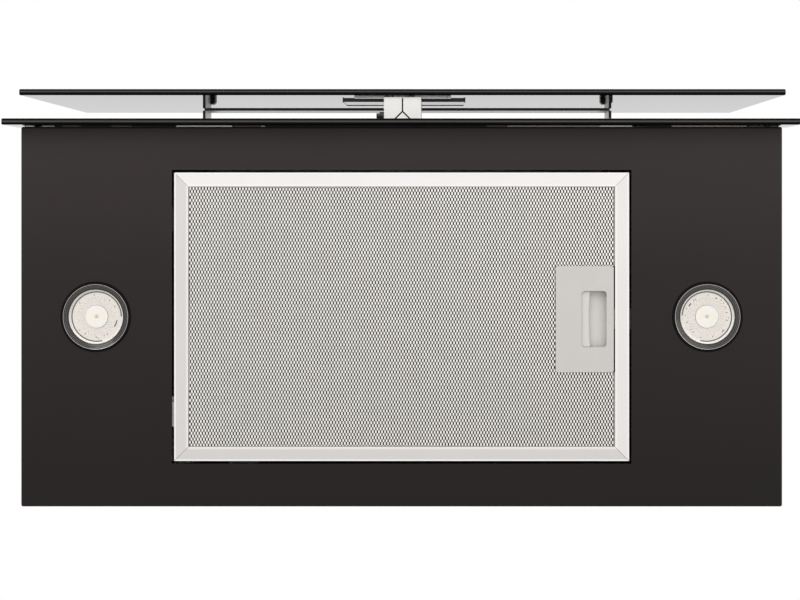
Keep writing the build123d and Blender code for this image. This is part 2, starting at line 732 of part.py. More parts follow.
def collar_screw_places():
    """(x, y) of the collar's four screws, on the diagonals."""
    reach = (COLLAR_R + COLLAR_FLANGE_R) / 2
    places = []
    for quarter in range(4):
        angle = radians(45 + 90 * quarter)
        places.append((reach * cos(angle), COLLAR_Y + reach * sin(angle)))
    return places


def rail_screw_places():
    """(x, y) of the guide rails' screws."""
    x = RAIL_X + RAIL_SHEET + RAIL_FLANGE / 2
    places = []
    for side in (-1, 1):
        for end in (-1, 1):
            places.append((side * x, RAIL_Y0 + (RAIL_LEN + end * RAIL_SCREW_PITCH) / 2))
    return places


node("casing_front", casing_front())
node("casing_rear", casing_rear())
node("casing_left", casing_side())
node("casing_right", mirrored(casing_side()))
node("top_cover", top_cover())


# ---------------------------------------------------------------- outlet collar
def collar_parts():
    """Duct collar with its flap ledge and centre bridge."""
    base_z = CASING_TOP
    flange = rod_z(0, 0, base_z, base_z + COLLAR_FLANGE_T, COLLAR_FLANGE_R)
    tube = rod_z(0, 0, base_z, base_z + COLLAR_TUBE, COLLAR_R)
    bore = rod_z(0, 0, base_z + LEDGE_T, base_z + COLLAR_TUBE + 1, COLLAR_IN_R)
    throat = rod_z(0, 0, base_z - 1, base_z + LEDGE_T + 1, COLLAR_IN_R - LEDGE_W)
    collar = flange + tube - bore - throat
    collar += block(-BRIDGE_W / 2, BRIDGE_W / 2, -COLLAR_IN_R, COLLAR_IN_R, base_z, LEDGE_Z)
    for side in (-1, 1):
        seat_half = COLLAR_IN_R + PIN_REACH + SCREW_PLAY
        seat_r = PIN_R + PIN_PLAY
        seat_x = side * HINGE_X
        collar -= block(seat_x - seat_r, seat_x + seat_r, -seat_half, seat_half,
                        HINGE_Z - seat_r, HINGE_Z + seat_r)
    collar = Pos(0, COLLAR_Y, 0) * collar
    for x, y in collar_screw_places():
        collar -= prism_z(x, y, base_z - 1, base_z + COLLAR_FLANGE_T + 1, SCREW_R + SCREW_PLAY)
    return collar


def flap():
    """Right-hand half-disc flap with its barrel and two journals."""
    radius = COLLAR_IN_R - FLAP_PLAY
    disc = rod_z(0, 0, FLAP_Z, FLAP_Z + FLAP_T, radius)
    keep = block(HINGE_X, radius + 1, -radius - 1, radius + 1, FLAP_Z - 1, FLAP_Z + FLAP_T + 1)
    barrel_half = sqrt(radius ** 2 - (HINGE_X + BARREL_R) ** 2)
    barrel = rod_y(HINGE_X, -barrel_half, barrel_half, HINGE_Z, BARREL_R)
    journal_half = COLLAR_IN_R + PIN_REACH
    journals = rod_y(HINGE_X, -journal_half, journal_half, HINGE_Z, PIN_R)
    rib = block(HINGE_X, radius * 0.6, -0.8, 0.8, FLAP_Z + FLAP_T / 2, HINGE_Z)
    return Pos(0, COLLAR_Y, 0) * ((disc & keep) + barrel + journals + rib)


node("outlet_collar", collar_parts())
node("flap_right", flap())
node("flap_left", mirrored(flap()))
node("collar_screws", group(
    [Pos(x, y, CASING_TOP + COLLAR_FLANGE_T) * screw() for x, y in collar_screw_places()]))
node("cover_screws", group(
    [Pos(x, y, CASING_TOP) * screw() for x, y in cover_screw_places()]
    + [Pos(x, y, CASING_TOP) * screw() for x, y in rail_screw_places()]))


# ---------------------------------------------------------------- blower
def scroll_face(grow):
    """Section of the scroll in (y, z): three growing quarter arcs and the outlet."""
    yc = BLOWER_Y
    zc = BLOWER_Z
    r1 = SCROLL_R + grow
    r2 = r1 + SCROLL_STEP
    r3 = r2 + SCROLL_STEP
    top = WALL_TOP + (1.0 if grow == 0 else 0.0)
    start = (yc - grow, zc + sqrt(r1 ** 2 - grow ** 2))
    half = sqrt(0.5)
    arc1 = ThreePointArc(start, (yc - r1 * half, zc + r1 * half), (yc - r1, zc))
    c2 = (yc + SCROLL_STEP, zc)
    arc2 = ThreePointArc((yc - r1, zc), (c2[0] - r2 * half, c2[1] - r2 * half),
                         (c2[0], c2[1] - r2))
    c3 = (c2[0], zc + SCROLL_STEP)
    arc3 = ThreePointArc((c2[0], c2[1] - r2), (c3[0] + r3 * half, c3[1] - r3 * half),
                         (c3[0] + r3, c3[1]))
    walls = Polyline((c3[0] + r3, c3[1]), (c3[0] + r3, top), (yc - grow, top), start)
    return make_face([arc1, arc2, arc3, walls])


def scroll_solid(grow, x0, x1):
    """The scroll section drawn out between two X positions."""
    plane = Plane(origin=(x0, 0, 0), x_dir=(0, 1, 0), z_dir=(1, 0, 0))
    return extrude(plane * scroll_face(grow), x1 - x0)


OUTLET_Y0 = BLOWER_Y
OUTLET_Y1 = BLOWER_Y + SCROLL_R + 3 * SCROLL_STEP


def volute_half():
    """Right-hand half of the scroll housing with its inlet and outlet rim."""
    half_w = VOLUTE_W / 2
    shell = scroll_solid(VOLUTE_T, 0, half_w)
    rim = block(0, half_w + VOLUTE_RIM, OUTLET_Y0 - VOLUTE_T - VOLUTE_RIM,
                OUTLET_Y1 + VOLUTE_T + VOLUTE_RIM, WALL_TOP - VOLUTE_T, WALL_TOP)
    mouth = rod_x(half_w - VOLUTE_T, half_w + INLET_LIP, BLOWER_Y, BLOWER_Z, INLET_R + VOLUTE_T)
    for x, y in collar_screw_places():
        rim -= prism_z(x, y, WALL_TOP - VOLUTE_T - 1, WALL_TOP + 1, SCREW_R + SCREW_PLAY)
    shell = shell + rim + mouth
    shell -= scroll_solid(0, -1, half_w - VOLUTE_T)
    shell -= rod_x(half_w - VOLUTE_T - 1, half_w + INLET_LIP + 1, BLOWER_Y, BLOWER_Z, INLET_R)
    return shell


node("volute_right", volute_half())
node("volute_left", mirrored(volute_half()))


def impeller():
    """Double-inlet wheel: forward-curved blades, end rings, centre disc and hub."""
    inner_r = IMPELLER_R - BLADE_DEPTH
    root_r = inner_r + BLADE_ROOT_IN
    tip_r = IMPELLER_R - BLADE_TIP_IN
    middle_r = (root_r + tip_r) / 2
    edge = []
    for radius, turn in ((root_r, 0.0), (middle_r, BLADE_LEAN * 0.2), (tip_r, BLADE_LEAN)):
        edge.append((radius * cos(radians(turn)), radius * sin(radians(turn))))
    far_edge = [(x, y + BLADE_T) for x, y in edge]
    profile = make_face(Polyline(*edge, *reversed(far_edge), close=True))
    blade = extrude(profile, (IMPELLER_W - RING_T) / 2, both=True)
    wheel = rod_z(0, 0, -RING_T / 2, RING_T / 2, IMPELLER_R)
    wheel += rod_z(0, 0, -HUB_R, RING_T, HUB_R)
    for side in (-1, 1):
        z_in = side * (IMPELLER_W / 2 - RING_T)
        z_out = side * IMPELLER_W / 2
        ring = rod_z(0, 0, min(z_in, z_out), max(z_in, z_out), IMPELLER_R)
        wheel += ring - rod_z(0, 0, min(z_in, z_out) - 1, max(z_in, z_out) + 1, inner_r)
    wheel += [loc * blade for loc in PolarLocations(0, BLADES)]
    wheel -= rod_z(0, 0, -HUB_R - 1, RING_T + 1, SHAFT_R)
    return Pos(0, BLOWER_Y, BLOWER_Z) * Rot(0, 90, 0) * wheel


node("impeller", impeller())
SHAFT_X0 = -HUB_R - SHAFT_TAIL
SHAFT_X1 = MOTOR_X0 + MOTOR_L * 0.8
node("motor_shaft", rod_x(SHAFT_X0, SHAFT_X1, BLOWER_Y, BLOWER_Z, SHAFT_R))


def motor():
    """Motor can with a bored shaft seat and a bevelled end."""
    can = rod_x(MOTOR_X0, MOTOR_X0 + MOTOR_L, BLOWER_Y, BLOWER_Z, MOTOR_R)
    can = chamfer(can.edges().group_by(Axis.X)[0], MOTOR_EDGE)
    can -= rod_x(MOTOR_X0 - 1, SHAFT_X1 + 1, BLOWER_Y, BLOWER_Z, SHAFT_R + SHAFT_PLAY)
    return can


def motor_bracket():
    """Spider that carries the motor in the right-hand inlet."""
    x0 = MOTOR_X0 + MOTOR_L
    x1 = VOLUTE_W / 2 + GROMMET_T
    spider = rod_x(x0, x0 + BRACKET_T, BLOWER_Y, BLOWER_Z, MOTOR_R * 0.7)
    riser_r = INLET_R - BRACKET_INSET
    half = BRACKET_ARM_W / 2
    reach = bracket_reach()
    for arm in range(BRACKET_ARMS):
        turn = Pos(0, BLOWER_Y, BLOWER_Z) * Rot(360 / BRACKET_ARMS * arm, 0, 0)
        spoke = block(x0, x0 + BRACKET_T, -half, half, MOTOR_R * 0.5, riser_r)
        riser = block(x0, x1 + BRACKET_T, -half, half, riser_r - BRACKET_T, riser_r)
        foot = block(x1, x1 + BRACKET_T, -half, half, riser_r - BRACKET_T, reach + GROMMET_R)
        spider += turn * (spoke + riser + foot)
    return spider


def bracket_reach():
    """Radius of the bracket's fixing circle."""
    return INLET_R + INLET_LIP + VOLUTE_T + GROMMET_R + 1.0


def motor_grommets():
    """Rubber mounts between the bracket's feet and the scroll's side."""
    pieces = []
    x0 = VOLUTE_W / 2
    for arm in range(BRACKET_ARMS):
        turn = Pos(0, BLOWER_Y, BLOWER_Z) * Rot(360 / BRACKET_ARMS * arm, 0, 0)
        pieces.append(turn * prism_x(x0, x0 + GROMMET_T, 0, bracket_reach(), GROMMET_R))
    return group(pieces)


node("motor", motor())
node("motor_bracket", motor_bracket())
node("motor_grommets", motor_grommets())


# ---------------------------------------------------------------- guide rails
def guide_rail():
    """Right-hand rail: web beside the arm, lower flange, and a hanging flange."""
    y0 = RAIL_Y0
    y1 = RAIL_Y0 + RAIL_LEN
    web_z0 = CARRIER_Z0 - GLIDE_RIM - RAIL_SHEET
    web = block(RAIL_X, RAIL_X + RAIL_SHEET, y0, y1, web_z0, WALL_TOP)
    lower = block(RAIL_X - GLIDE_W, RAIL_X, y0, y1, web_z0, web_z0 + RAIL_SHEET)
    hanger = block(RAIL_X, RAIL_X + RAIL_SHEET + RAIL_FLANGE, y0, y1,
                   WALL_TOP - RAIL_SHEET, WALL_TOP)
    rail = web + lower + hanger
    for x, y in rail_screw_places():
        if x > 0:
            rail -= prism_z(x, y, WALL_TOP - RAIL_SHEET - 1, WALL_TOP + 1, SCREW_R + SCREW_PLAY)
    return rail


def slide_glides():
    """Four plastic glides in which the arms run."""
    slot_half = CARRIER_T / 2 + GLIDE_PLAY
    pieces = []
    for side in (-1, 1):
        for index in range(2):
            y = GLIDE_Y + index * GLIDE_SPAN
            x = side * CARRIER_X
            glide = block(x - GLIDE_W / 2, x + GLIDE_W / 2, y - GLIDE_L / 2, y + GLIDE_L / 2,
                          CARRIER_Z0 - GLIDE_RIM, CARRIER_Z0 + CARRIER_H + GLIDE_RIM)
            glide -= block(x - slot_half, x + slot_half, y - GLIDE_L, y + GLIDE_L,
                           CARRIER_Z0 - GLIDE_PLAY, CARRIER_Z0 + CARRIER_H + GLIDE_PLAY)
            pieces.append(glide)
    return group(pieces)


node("guide_rail_right", guide_rail())
node("guide_rail_left", mirrored(guide_rail()))
node("slide_glides", slide_glides())


# ---------------------------------------------------------------- panel carrier
def carrier_bar():
    """Steel bar bonded to the glass, its ends bent back along the arms."""
    half = CARRIER_X - CARRIER_T / 2
    z1 = CARRIER_Z0 + CARRIER_H
    bar = block(-half, half, PANEL_BACK, PANEL_BACK + CARRIER_T, CARRIER_Z0, z1)
    for side in (-1, 1):
        outer = side * half
        inner = side * (half - CARRIER_T)
        bar += block(min(outer, inner), max(outer, inner), PANEL_BACK,
                     PANEL_BACK + CARRIER_LUG, CARRIER_Z0, z1)
    bends = bar.edges().filter_by(Axis.Z).group_by(Axis.Y)[0]
    return fillet(bends, CARRIER_T * 0.9)


def slide_arm():
    """Right-hand arm: a plate along Y with a bent stop tab behind the rear glide."""
    x0 = CARRIER_X - CARRIER_T / 2
    x1 = CARRIER_X + CARRIER_T / 2
    z1 = CARRIER_Z0 + CARRIER_H
    arm = block(x0, x1, PANEL_BACK + CARRIER_T, ARM_Y1, CARRIER_Z0, z1)
    arm += block(x0 - ARM_TAB, x0, ARM_Y1 - CARRIER_T, ARM_Y1, CARRIER_Z0, z1)
    return arm


def arm_bumpers():
    """Rubber stops pushed over the arms' upper edges."""
    y0 = PANEL_BACK + BUMPER_OFF
    z1 = CARRIER_Z0 + CARRIER_H
    pieces = []
    for side in (-1, 1):
        x = side * CARRIER_X
        bumper = block(x - BUMPER_W / 2, x + BUMPER_W / 2, y0, y0 + BUMPER_L,
                       z1 - BUMPER_SEAT, BUMPER_Z1)
        bumper = chamfer(bumper.edges().filter_by(Axis.Z), BUMPER_R)
        slot_in = side * (CARRIER_X - CARRIER_T * 1.5)
        slot_out = side * (CARRIER_X + CARRIER_T / 2)
        bumper -= block(min(slot_in, slot_out), max(slot_in, slot_out), y0 - 1,
                        y0 + BUMPER_L + 1, z1 - BUMPER_SEAT - 1, z1)
        pieces.append(bumper)
    return group(pieces)


node("carrier_bar", carrier_bar())
node("slide_arm_right", slide_arm())
node("slide_arm_left", mirrored(slide_arm()))
node("arm_bumpers", arm_bumpers())


# ---------------------------------------------------------------- control unit
def control_box():
    """Folded box behind the glass; its floor is two side flaps and a rear flap."""
    half = BOX_W / 2
    y0 = PANEL_BACK + FLANGE_T
    y1 = y0 + BOX_L
    box = block(-half, half, y0, y1, BOX_Z0, BOX_Z0 + BOX_H)
    box = fillet(box.edges().filter_by(Axis.Z).group_by(Axis.Y)[-1], BOX_T)
    box -= block(-half + BOX_T, half - BOX_T, y0 + BOX_T, y1 - BOX_T,
                 BOX_Z0 + BOX_T, BOX_Z0 + BOX_H - BOX_T)
    apex = y1 - half
    slit = block(-BOX_SLIT / 2, BOX_SLIT / 2, y0 - 1, apex, BOX_Z0 - 1, BOX_Z0 + BOX_T)
    for side in (-1, 1):
        mitre = block(0, half * sqrt(2) - BOX_T * 2, -BOX_SLIT / 2, BOX_SLIT / 2,
                      BOX_Z0 - 1, BOX_Z0 + BOX_T)
        slit += Pos(0, apex, 0) * Rot(0, 0, 90 - 45 * side) * mitre
    return box - slit


def flange_clips():
    """Three clips that hold the flange's lower edge on the glass."""
    pieces = []
    for start, end in FLANGE_CLIPS:
        pieces.append(block(start, end, PANEL_BACK, PANEL_BACK + FLANGE_T, BOX_Z0, FLANGE_Z0))
    return group(pieces)


def cable_bush():
    """Stepped bush in the box's left side."""
    y = PANEL_BACK + FLANGE_T + BOX_L * 0.56
    z = BOX_Z0 + BUSH_R + 1.0
    x0 = -BOX_W / 2 - BUSH_L
    body = rod_x(x0 + BUSH_TIP_L, -BOX_W / 2, y, z, BUSH_R)
    tip = rod_x(x0, x0 + BUSH_TIP_L, y, z, BUSH_R * 0.65)
    return body + tip


node("control_flange", block(-FLANGE_W / 2, FLANGE_W / 2, PANEL_BACK, PANEL_BACK + FLANGE_T,
                             FLANGE_Z0, FLANGE_Z0 + FLANGE_H))
node("touch_board", block(-BOARD_W / 2, BOARD_W / 2, PANEL_BACK, PANEL_BACK + BOARD_T,
                          BOARD_Z0, BOARD_Z0 + BOARD_H))
node("control_box", control_box())
node("flange_clips", flange_clips())
node("cable_bush", cable_bush())


# ---------------------------------------------------------------- electrics
def electronics_box():
    """Open moulded box on the rear wall, drawn with its depth along X."""
    shell = block(0, EBOX_DEPTH, 0, EBOX_LENGTH, 0, EBOX_H)
    shell = fillet(shell.edges().filter_by(Axis.X), EBOX_R)
    shell -= block(EBOX_T, EBOX_DEPTH + 1, EBOX_T, EBOX_LENGTH - EBOX_T, EBOX_T, EBOX_H - EBOX_T)
    return EBOX_SEAT * shell


def electronics_cover():
    """Flat cover with a rim inside the box."""
    inset = EBOX_T + COVER_PLAY
    rim_in = inset + EBOX_T * 0.75
    plate = block(EBOX_DEPTH, EBOX_DEPTH + EBOX_T, 0, EBOX_LENGTH, 0, EBOX_H)
    plate = fillet(plate.edges().filter_by(Axis.X), EBOX_R)
    rim = block(EBOX_DEPTH - EBOX_R, EBOX_DEPTH, inset, EBOX_LENGTH - inset, inset, EBOX_H - inset)
    rim -= block(0, EBOX_DEPTH, rim_in, EBOX_LENGTH - rim_in, rim_in, EBOX_H - rim_in)
    return EBOX_SEAT * (plate + rim)


def circuit_board():
    """Power board on stand-offs, with its relays and a terminal block."""
    inset = PCB_INSET
    back = EBOX_T + PCB_STAND_OFF
    front = back + PCB_T
    board = block(back, front, inset, EBOX_LENGTH - inset, inset, EBOX_H - inset)
    for y in (2 * inset, EBOX_LENGTH - 2 * inset):
        for z in (2 * inset, EBOX_H - 2 * inset):
            board += prism_x(EBOX_T, back, y, z, PCB_STAND_OFF / 2)
    relay_z0 = (EBOX_H - RELAY_H) / 2
    relays_y0 = (EBOX_LENGTH - (RELAYS - 1) * RELAY_PITCH - RELAY_W) / 2
    for relay in range(RELAYS):
        y = relays_y0 + relay * RELAY_PITCH
        board += block(front, front + RELAY_W, y, y + RELAY_W, relay_z0, relay_z0 + RELAY_H)
    terminal_z1 = EBOX_H - inset - PCB_T
    board += block(front, front + TERMINAL_H, 2 * inset, EBOX_LENGTH - 2 * inset,
                   terminal_z1 - TERMINAL_H, terminal_z1)
    return EBOX_SEAT * board


def run_capacitor():
    """Can with a terminal block, standing off the rear wall in its strap."""
    y = capacitor_y()
    can = rod_z(CAP_X, y, CAP_Z0, CAP_Z0 + CAP_H - CAP_STEP, CAP_R)
    terminals = block(CAP_X - CAP_R / 2, CAP_X + CAP_R / 2, y - CAP_STEP / 2, y + CAP_STEP / 2,
                      CAP_Z0 + CAP_H - CAP_STEP, CAP_Z0 + CAP_H)
    return can + terminals


def capacitor_y():
    """Y of the capacitor's axis."""
    return CASING_REAR - SHEET_T - STRAP_T - CAP_R - STOP_GAP


def capacitor_strap():
    """Band round the capacitor with a foot on the rear wall."""
    y = capacitor_y()
    z0 = CAP_Z0 + (CAP_H - STRAP_H) / 2
    inner = CAP_R + STOP_GAP
    band = rod_z(CAP_X, y, z0, z0 + STRAP_H, inner + STRAP_T)
    wall_y = CASING_REAR - SHEET_T
    foot_half = CAP_R + STRAP_FOOT
    foot = block(CAP_X - foot_half, CAP_X + foot_half, wall_y - STRAP_T, wall_y,
                 z0, z0 + STRAP_H)
    return band + foot - rod_z(CAP_X, y, z0 - 1, z0 + STRAP_H + 1, inner)


def cable_gland():
    """Supply inlet: hexagon body and ribbed cap above the cover, thread and nut below."""
    hexagon = RegularPolygon(GLAND_R * GLAND_HEX, 6)
    body = extrude(hexagon, GLAND_H * 0.45)
    grip = RegularPolygon(GLAND_R, GLAND_SIDES)
    cap = Pos(0, 0, GLAND_H * 0.45) * extrude(grip, GLAND_H * 0.55)
    thread = extrude(grip, -COVER_T - GLAND_THREAD)
    nut = extrude(hexagon, -GLAND_NUT)
    gland = body + cap + thread + Pos(0, 0, -COVER_T) * nut
    gland -= rod_z(0, 0, -COVER_T - GLAND_THREAD - 1, GLAND_H + 1, GLAND_BORE_R)
    return Pos(GLAND_X, GLAND_Y, CASING_TOP) * gland


node("electronics_box", electronics_box())
node("electronics_cover", electronics_cover())
node("circuit_board", circuit_board())
node("run_capacitor", run_capacitor())
node("capacitor_strap", capacitor_strap())
node("cable_gland", cable_gland())


# ---------------------------------------------------------------- cabinet brackets
def cabinet_bracket():
    """Left-hand hat bracket between the casing and the cabinet's side board."""
    wall_x = -CASING_W / 2
    face_x = -CABINET_INSIDE / 2
    half = CAB_BRACKET_H / 2
    z0 = CAB_BRACKET_Z - half
    z1 = CAB_BRACKET_Z + half
    y0 = -CAB_BRACKET_L / 2
    y1 = CAB_BRACKET_L / 2
    bracket = block(face_x, face_x + CAB_BRACKET_T, y0, y1, z0, z1)
    bracket += block(face_x, wall_x, y0, y1, z0, z0 + CAB_BRACKET_T)
    bracket += block(face_x, wall_x, y0, y1, z1 - CAB_BRACKET_T, z1)
    bracket += block(wall_x - CAB_BRACKET_T, wall_x, y0, y1, z0 - CAB_BRACKET_FOOT, z0)
    bracket += block(wall_x - CAB_BRACKET_T, wall_x, y0, y1, z1, z1 + CAB_BRACKET_FOOT)
    for y, z in cabinet_holes():
        bracket -= rod_x(face_x - 1, face_x + CAB_BRACKET_T + 1, y, z, CAB_HOLE_R)
    for y, z in bracket_screw_places():
        bracket -= prism_x(wall_x - CAB_BRACKET_T - 1, wall_x + 1, y, z, SCREW_R + SCREW_PLAY)
    return bracket


node("cabinet_bracket_left", cabinet_bracket())
node("cabinet_bracket_right", mirrored(cabinet_bracket()))
node("bracket_screws", bracket_screws())


# ---------------------------------------------------------------- output
os.makedirs("parts", exist_ok=True)
for name, shape in parts.items():
    export_step(shape, "parts/" + name + ".step")
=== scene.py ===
"""Looks of the range hood insert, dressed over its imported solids.

Lengths are in metres, in the part's own frame: +X to the right, -Y to the front, +Z up into the
cabinet.
"""

import math
import random

import bmesh
import bpy
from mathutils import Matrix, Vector


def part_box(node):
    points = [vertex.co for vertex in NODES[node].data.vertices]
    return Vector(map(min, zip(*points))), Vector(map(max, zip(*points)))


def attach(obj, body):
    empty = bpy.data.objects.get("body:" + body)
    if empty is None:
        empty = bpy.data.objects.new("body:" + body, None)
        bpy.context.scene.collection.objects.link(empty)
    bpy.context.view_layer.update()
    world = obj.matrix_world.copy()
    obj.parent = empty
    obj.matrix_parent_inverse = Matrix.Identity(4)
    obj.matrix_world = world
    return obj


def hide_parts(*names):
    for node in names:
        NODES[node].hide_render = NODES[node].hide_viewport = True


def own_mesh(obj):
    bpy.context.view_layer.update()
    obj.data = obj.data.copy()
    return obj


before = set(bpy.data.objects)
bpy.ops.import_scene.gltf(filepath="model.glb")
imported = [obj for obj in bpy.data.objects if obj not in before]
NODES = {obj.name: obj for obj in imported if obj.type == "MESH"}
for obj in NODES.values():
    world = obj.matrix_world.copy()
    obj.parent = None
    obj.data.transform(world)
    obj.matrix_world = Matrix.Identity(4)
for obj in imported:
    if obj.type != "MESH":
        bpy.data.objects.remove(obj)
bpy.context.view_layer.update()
MM = 0.001


# ---------------------------------------------------------------- camera
CAMERA_PLACE = (0.0285, -0.0845, -0.947)
CAMERA_TURN = (math.pi, 0.0, 0.0)
CAMERA_SHIFT = (-0.04875, -0.1175)
SENSOR_MM = 36.0
LENS_MM = 54.82
CLIP = (0.01, 50.0)


def make_camera():
    """Straight below the tray, looking up, with the photograph's framing."""
    data = bpy.data.cameras.new("camera")
    data.sensor_width = SENSOR_MM
    data.lens = LENS_MM
    data.shift_x, data.shift_y = CAMERA_SHIFT
    data.clip_start, data.clip_end = CLIP
    camera = bpy.data.objects.new("camera", data)
    camera.location = CAMERA_PLACE
    camera.rotation_euler = CAMERA_TURN
    bpy.context.scene.collection.objects.link(camera)
    bpy.context.scene.camera = camera


make_camera()


# ---------------------------------------------------------------- shader helpers
DOWN = 0.7                # a face looks down when its normal's z is below minus this


class Shader:
    """A material with short calls for its nodes."""

    def __init__(self, name):
        self.mat = bpy.data.materials.new(name)
        self.mat.use_nodes = True
        self.tree = self.mat.node_tree
        self.bsdf = self.tree.nodes["Principled BSDF"]
        self.out = self.tree.nodes["Material Output"]
        self.coord = None

    def add(self, kind, **values):
        """A node; each value goes to the input of that name, or else to the property."""
        node = self.tree.nodes.new(kind)
        for key, value in values.items():
            if key in node.inputs:
                node.inputs[key].default_value = value
            else:
                setattr(node, key, value)
        return node

    def link(self, a, b):
        self.tree.links.new(a, b)

    def set(self, **values):
        """Constants of the principled shader, with _ for a space in the input's name."""
        for key, value in values.items():
            self.bsdf.inputs[key.replace("_", " ")].default_value = value
        return self

    def coords(self, output):
        if self.coord is None:
            self.coord = self.add("ShaderNodeTexCoord")
        return self.coord.outputs[output]

    def place(self, scale=(1, 1, 1)):
        """Object coordinates, scaled."""
        mapping = self.add("ShaderNodeMapping")
        mapping.inputs["Scale"].default_value = scale
        self.link(self.coords("Object"), mapping.inputs["Vector"])
        return mapping.outputs["Vector"]

    def noise(self, scale, stretch=(1, 1, 1), detail=3.0):
        node = self.add("ShaderNodeTexNoise", Scale=scale, Detail=detail, Roughness=0.55)
        self.link(self.place(stretch), node.inputs["Vector"])
        return node.outputs["Fac"]

    def voronoi(self, scale, stretch=(1, 1, 1), output="Color"):
        node = self.add("ShaderNodeTexVoronoi", Scale=scale)
        self.link(self.place(stretch), node.inputs["Vector"])
        return node.outputs[output]

    def ramp(self, fac, stops):
        """Colour ramp through stops of (place, colour)."""
        node = self.add("ShaderNodeValToRGB")
        elements = node.color_ramp.elements
        while len(elements) < len(stops):
            elements.new(0.5)
        for element, (place, colour) in zip(elements, stops):
            element.position = place
            element.color = (*colour, 1.0)
        self.link(fac, node.inputs["Fac"])
        return node.outputs["Color"]

    def math(self, operation, a, b=None, c=None):
        node = self.add("ShaderNodeMath", operation=operation)
        for index, value in enumerate((a, b, c)):
            if value is None:
                continue
            if isinstance(value, (int, float)):
                node.inputs[index].default_value = value
            else:
                self.link(value, node.inputs[index])
        return node.outputs[0]

    def mix(self, fac, a, b):
        """Colour a where fac is 0, colour b where it is 1."""
        node = self.add("ShaderNodeMix", data_type="RGBA")
        for socket, value in ((node.inputs[0], fac), (node.inputs[6], a), (node.inputs[7], b)):
            if isinstance(value, tuple):
                socket.default_value = (*value, 1.0)
            else:
                self.link(value, socket)
        return node.outputs[2]

    def split(self, socket):
        node = self.add("ShaderNodeSeparateXYZ")
        self.link(socket, node.inputs[0])
        return node.outputs[0], node.outputs[1], node.outputs[2]

    def axes(self):
        """Separate x, y and z of the object coordinates."""
        return self.split(self.place())

    def faces_down(self):
        """1 where the surface looks down, otherwise 0."""
        return self.math("LESS_THAN", self.split(self.coords("Normal"))[2], -DOWN)

    def colour(self, socket):
        self.link(socket, self.bsdf.inputs["Base Color"])
        return self

    def rough(self, socket):
        self.link(socket, self.bsdf.inputs["Roughness"])
        return self

    def spread(self, fac, low, high):
        """fac from 0..1 to low..high."""
        return self.math("MULTIPLY_ADD", fac, high - low, low)

    def bump(self, height, strength, distance):
        node = self.add("ShaderNodeBump", Strength=strength, Distance=distance)
        self.link(height, node.inputs["Height"])
        self.link(node.outputs["Normal"], self.bsdf.inputs["Normal"])
        return self


def rgb(r, g, b):
    """Linear colour from the 0-255 values that it should show."""
    return tuple(((v / 255 + 0.055) / 1.055) ** 2.4 if v > 10 else v / 255 / 12.92
                 for v in (r, g, b))


# ---------------------------------------------------------------- materials
TRAY_DEPTH = 290.0 * MM
GLASS_T = 4.8 * MM
BOX_WALL = 1.2 * MM       # what counts as the control box's wall, not as its inside
BOX_FLOOR = 2.0 * MM      # what counts as its floor
TONGUE_X = 172.2 * MM     # where the latch's tongue leaves the frame
FRAME_HALF_X = 173.5 * MM
FRAME_HALF_Y = 110.0 * MM
FRAME_BAR = 10.6 * MM     # width of a bar
MITRE_HALF = 0.13 * MM    # half width of the dark line along a mitre
SHEET_PITCH_X = 2.38 * MM   # diamonds of the upper sheet
SHEET_ROW_Y = 2.26 * MM


def tray_paint():
    """Dark satin paint; painted light makes it a little lighter towards the front."""
    s = Shader("tray_paint").set(Roughness=0.42, Specular_IOR_Level=0.18)
    tone = s.noise(9.0, detail=4.0)
    fleck = s.noise(1500.0, detail=2.0)
    # painted light: darker towards the rear, lighter at the front, where more light falls
    rear_shade = s.math("MULTIPLY_ADD", s.axes()[1], 1 / TRAY_DEPTH, 0.5)
    shade = s.math("MULTIPLY_ADD", tone, 0.16, s.math("SUBTRACT", rear_shade, 0.08))
    s.colour(s.ramp(shade, [(0.0, rgb(52, 46, 45)), (0.35, rgb(40, 34, 33)),
                            (1.0, rgb(26, 21, 20))]))
    s.rough(s.spread(fleck, 0.34, 0.50))
    return s.bump(fleck, 0.10, 0.0002).mat


def black_glass(name, rough, ior):
    s = Shader(name).set(IOR=ior)
    smear = s.noise(14.0, (1, 1, 0.4), detail=5.0)
    s.colour(s.mix(smear, (0.0030, 0.0030, 0.0030), (0.0055, 0.0052, 0.0050)))
    s.rough(s.spread(smear, rough, rough + 0.035))
    return s.mat


def glass_edge(name, y_front, highlight_peak):
    """Ground edge: a painted highlight, one grey line between black borders, from the front face
    to the rear one.
    """
    s = Shader(name).set(Roughness=0.5, Specular_IOR_Level=0.0)
    across = s.math("MULTIPLY_ADD", s.axes()[1], 1 / GLASS_T, -y_front / GLASS_T)
    wander = s.math("MULTIPLY_ADD", s.noise(5.0, (1, 0, 0), detail=1.0), 0.10, -0.05)
    # painted highlight across the edge, between dark borders
    edge_highlight = s.ramp(s.math("ADD", across, wander),
                   [(0.0, rgb(5, 5, 5)), (0.12, rgb(12, 11, 11)),
                    (highlight_peak - 0.14, rgb(36, 35, 34)), (highlight_peak, rgb(92, 90, 86)),
                    (highlight_peak + 0.14, rgb(44, 42, 40)), (highlight_peak + 0.28, rgb(20, 19, 18)),
                    (0.86, rgb(9, 8, 8)), (1.0, rgb(5, 4, 4))])
    return s.colour(edge_highlight).mat


def galvanised():
    s = Shader("galvanised").set(Metallic=0.85)
    cell = s.voronoi(190.0)
    grey = s.add("ShaderNodeRGBToBW")
    s.link(cell, grey.inputs[0])
    cloud = s.noise(35.0, detail=4.0)
    shade = s.math("MULTIPLY_ADD", grey.outputs[0], 0.35, s.math("MULTIPLY", cloud, 0.5))
    s.colour(s.mix(shade, (0.36, 0.37, 0.38), (0.66, 0.67, 0.68)))
    s.rough(s.spread(shade, 0.28, 0.46))
    return s.bump(cloud, 0.08, 0.0003).mat


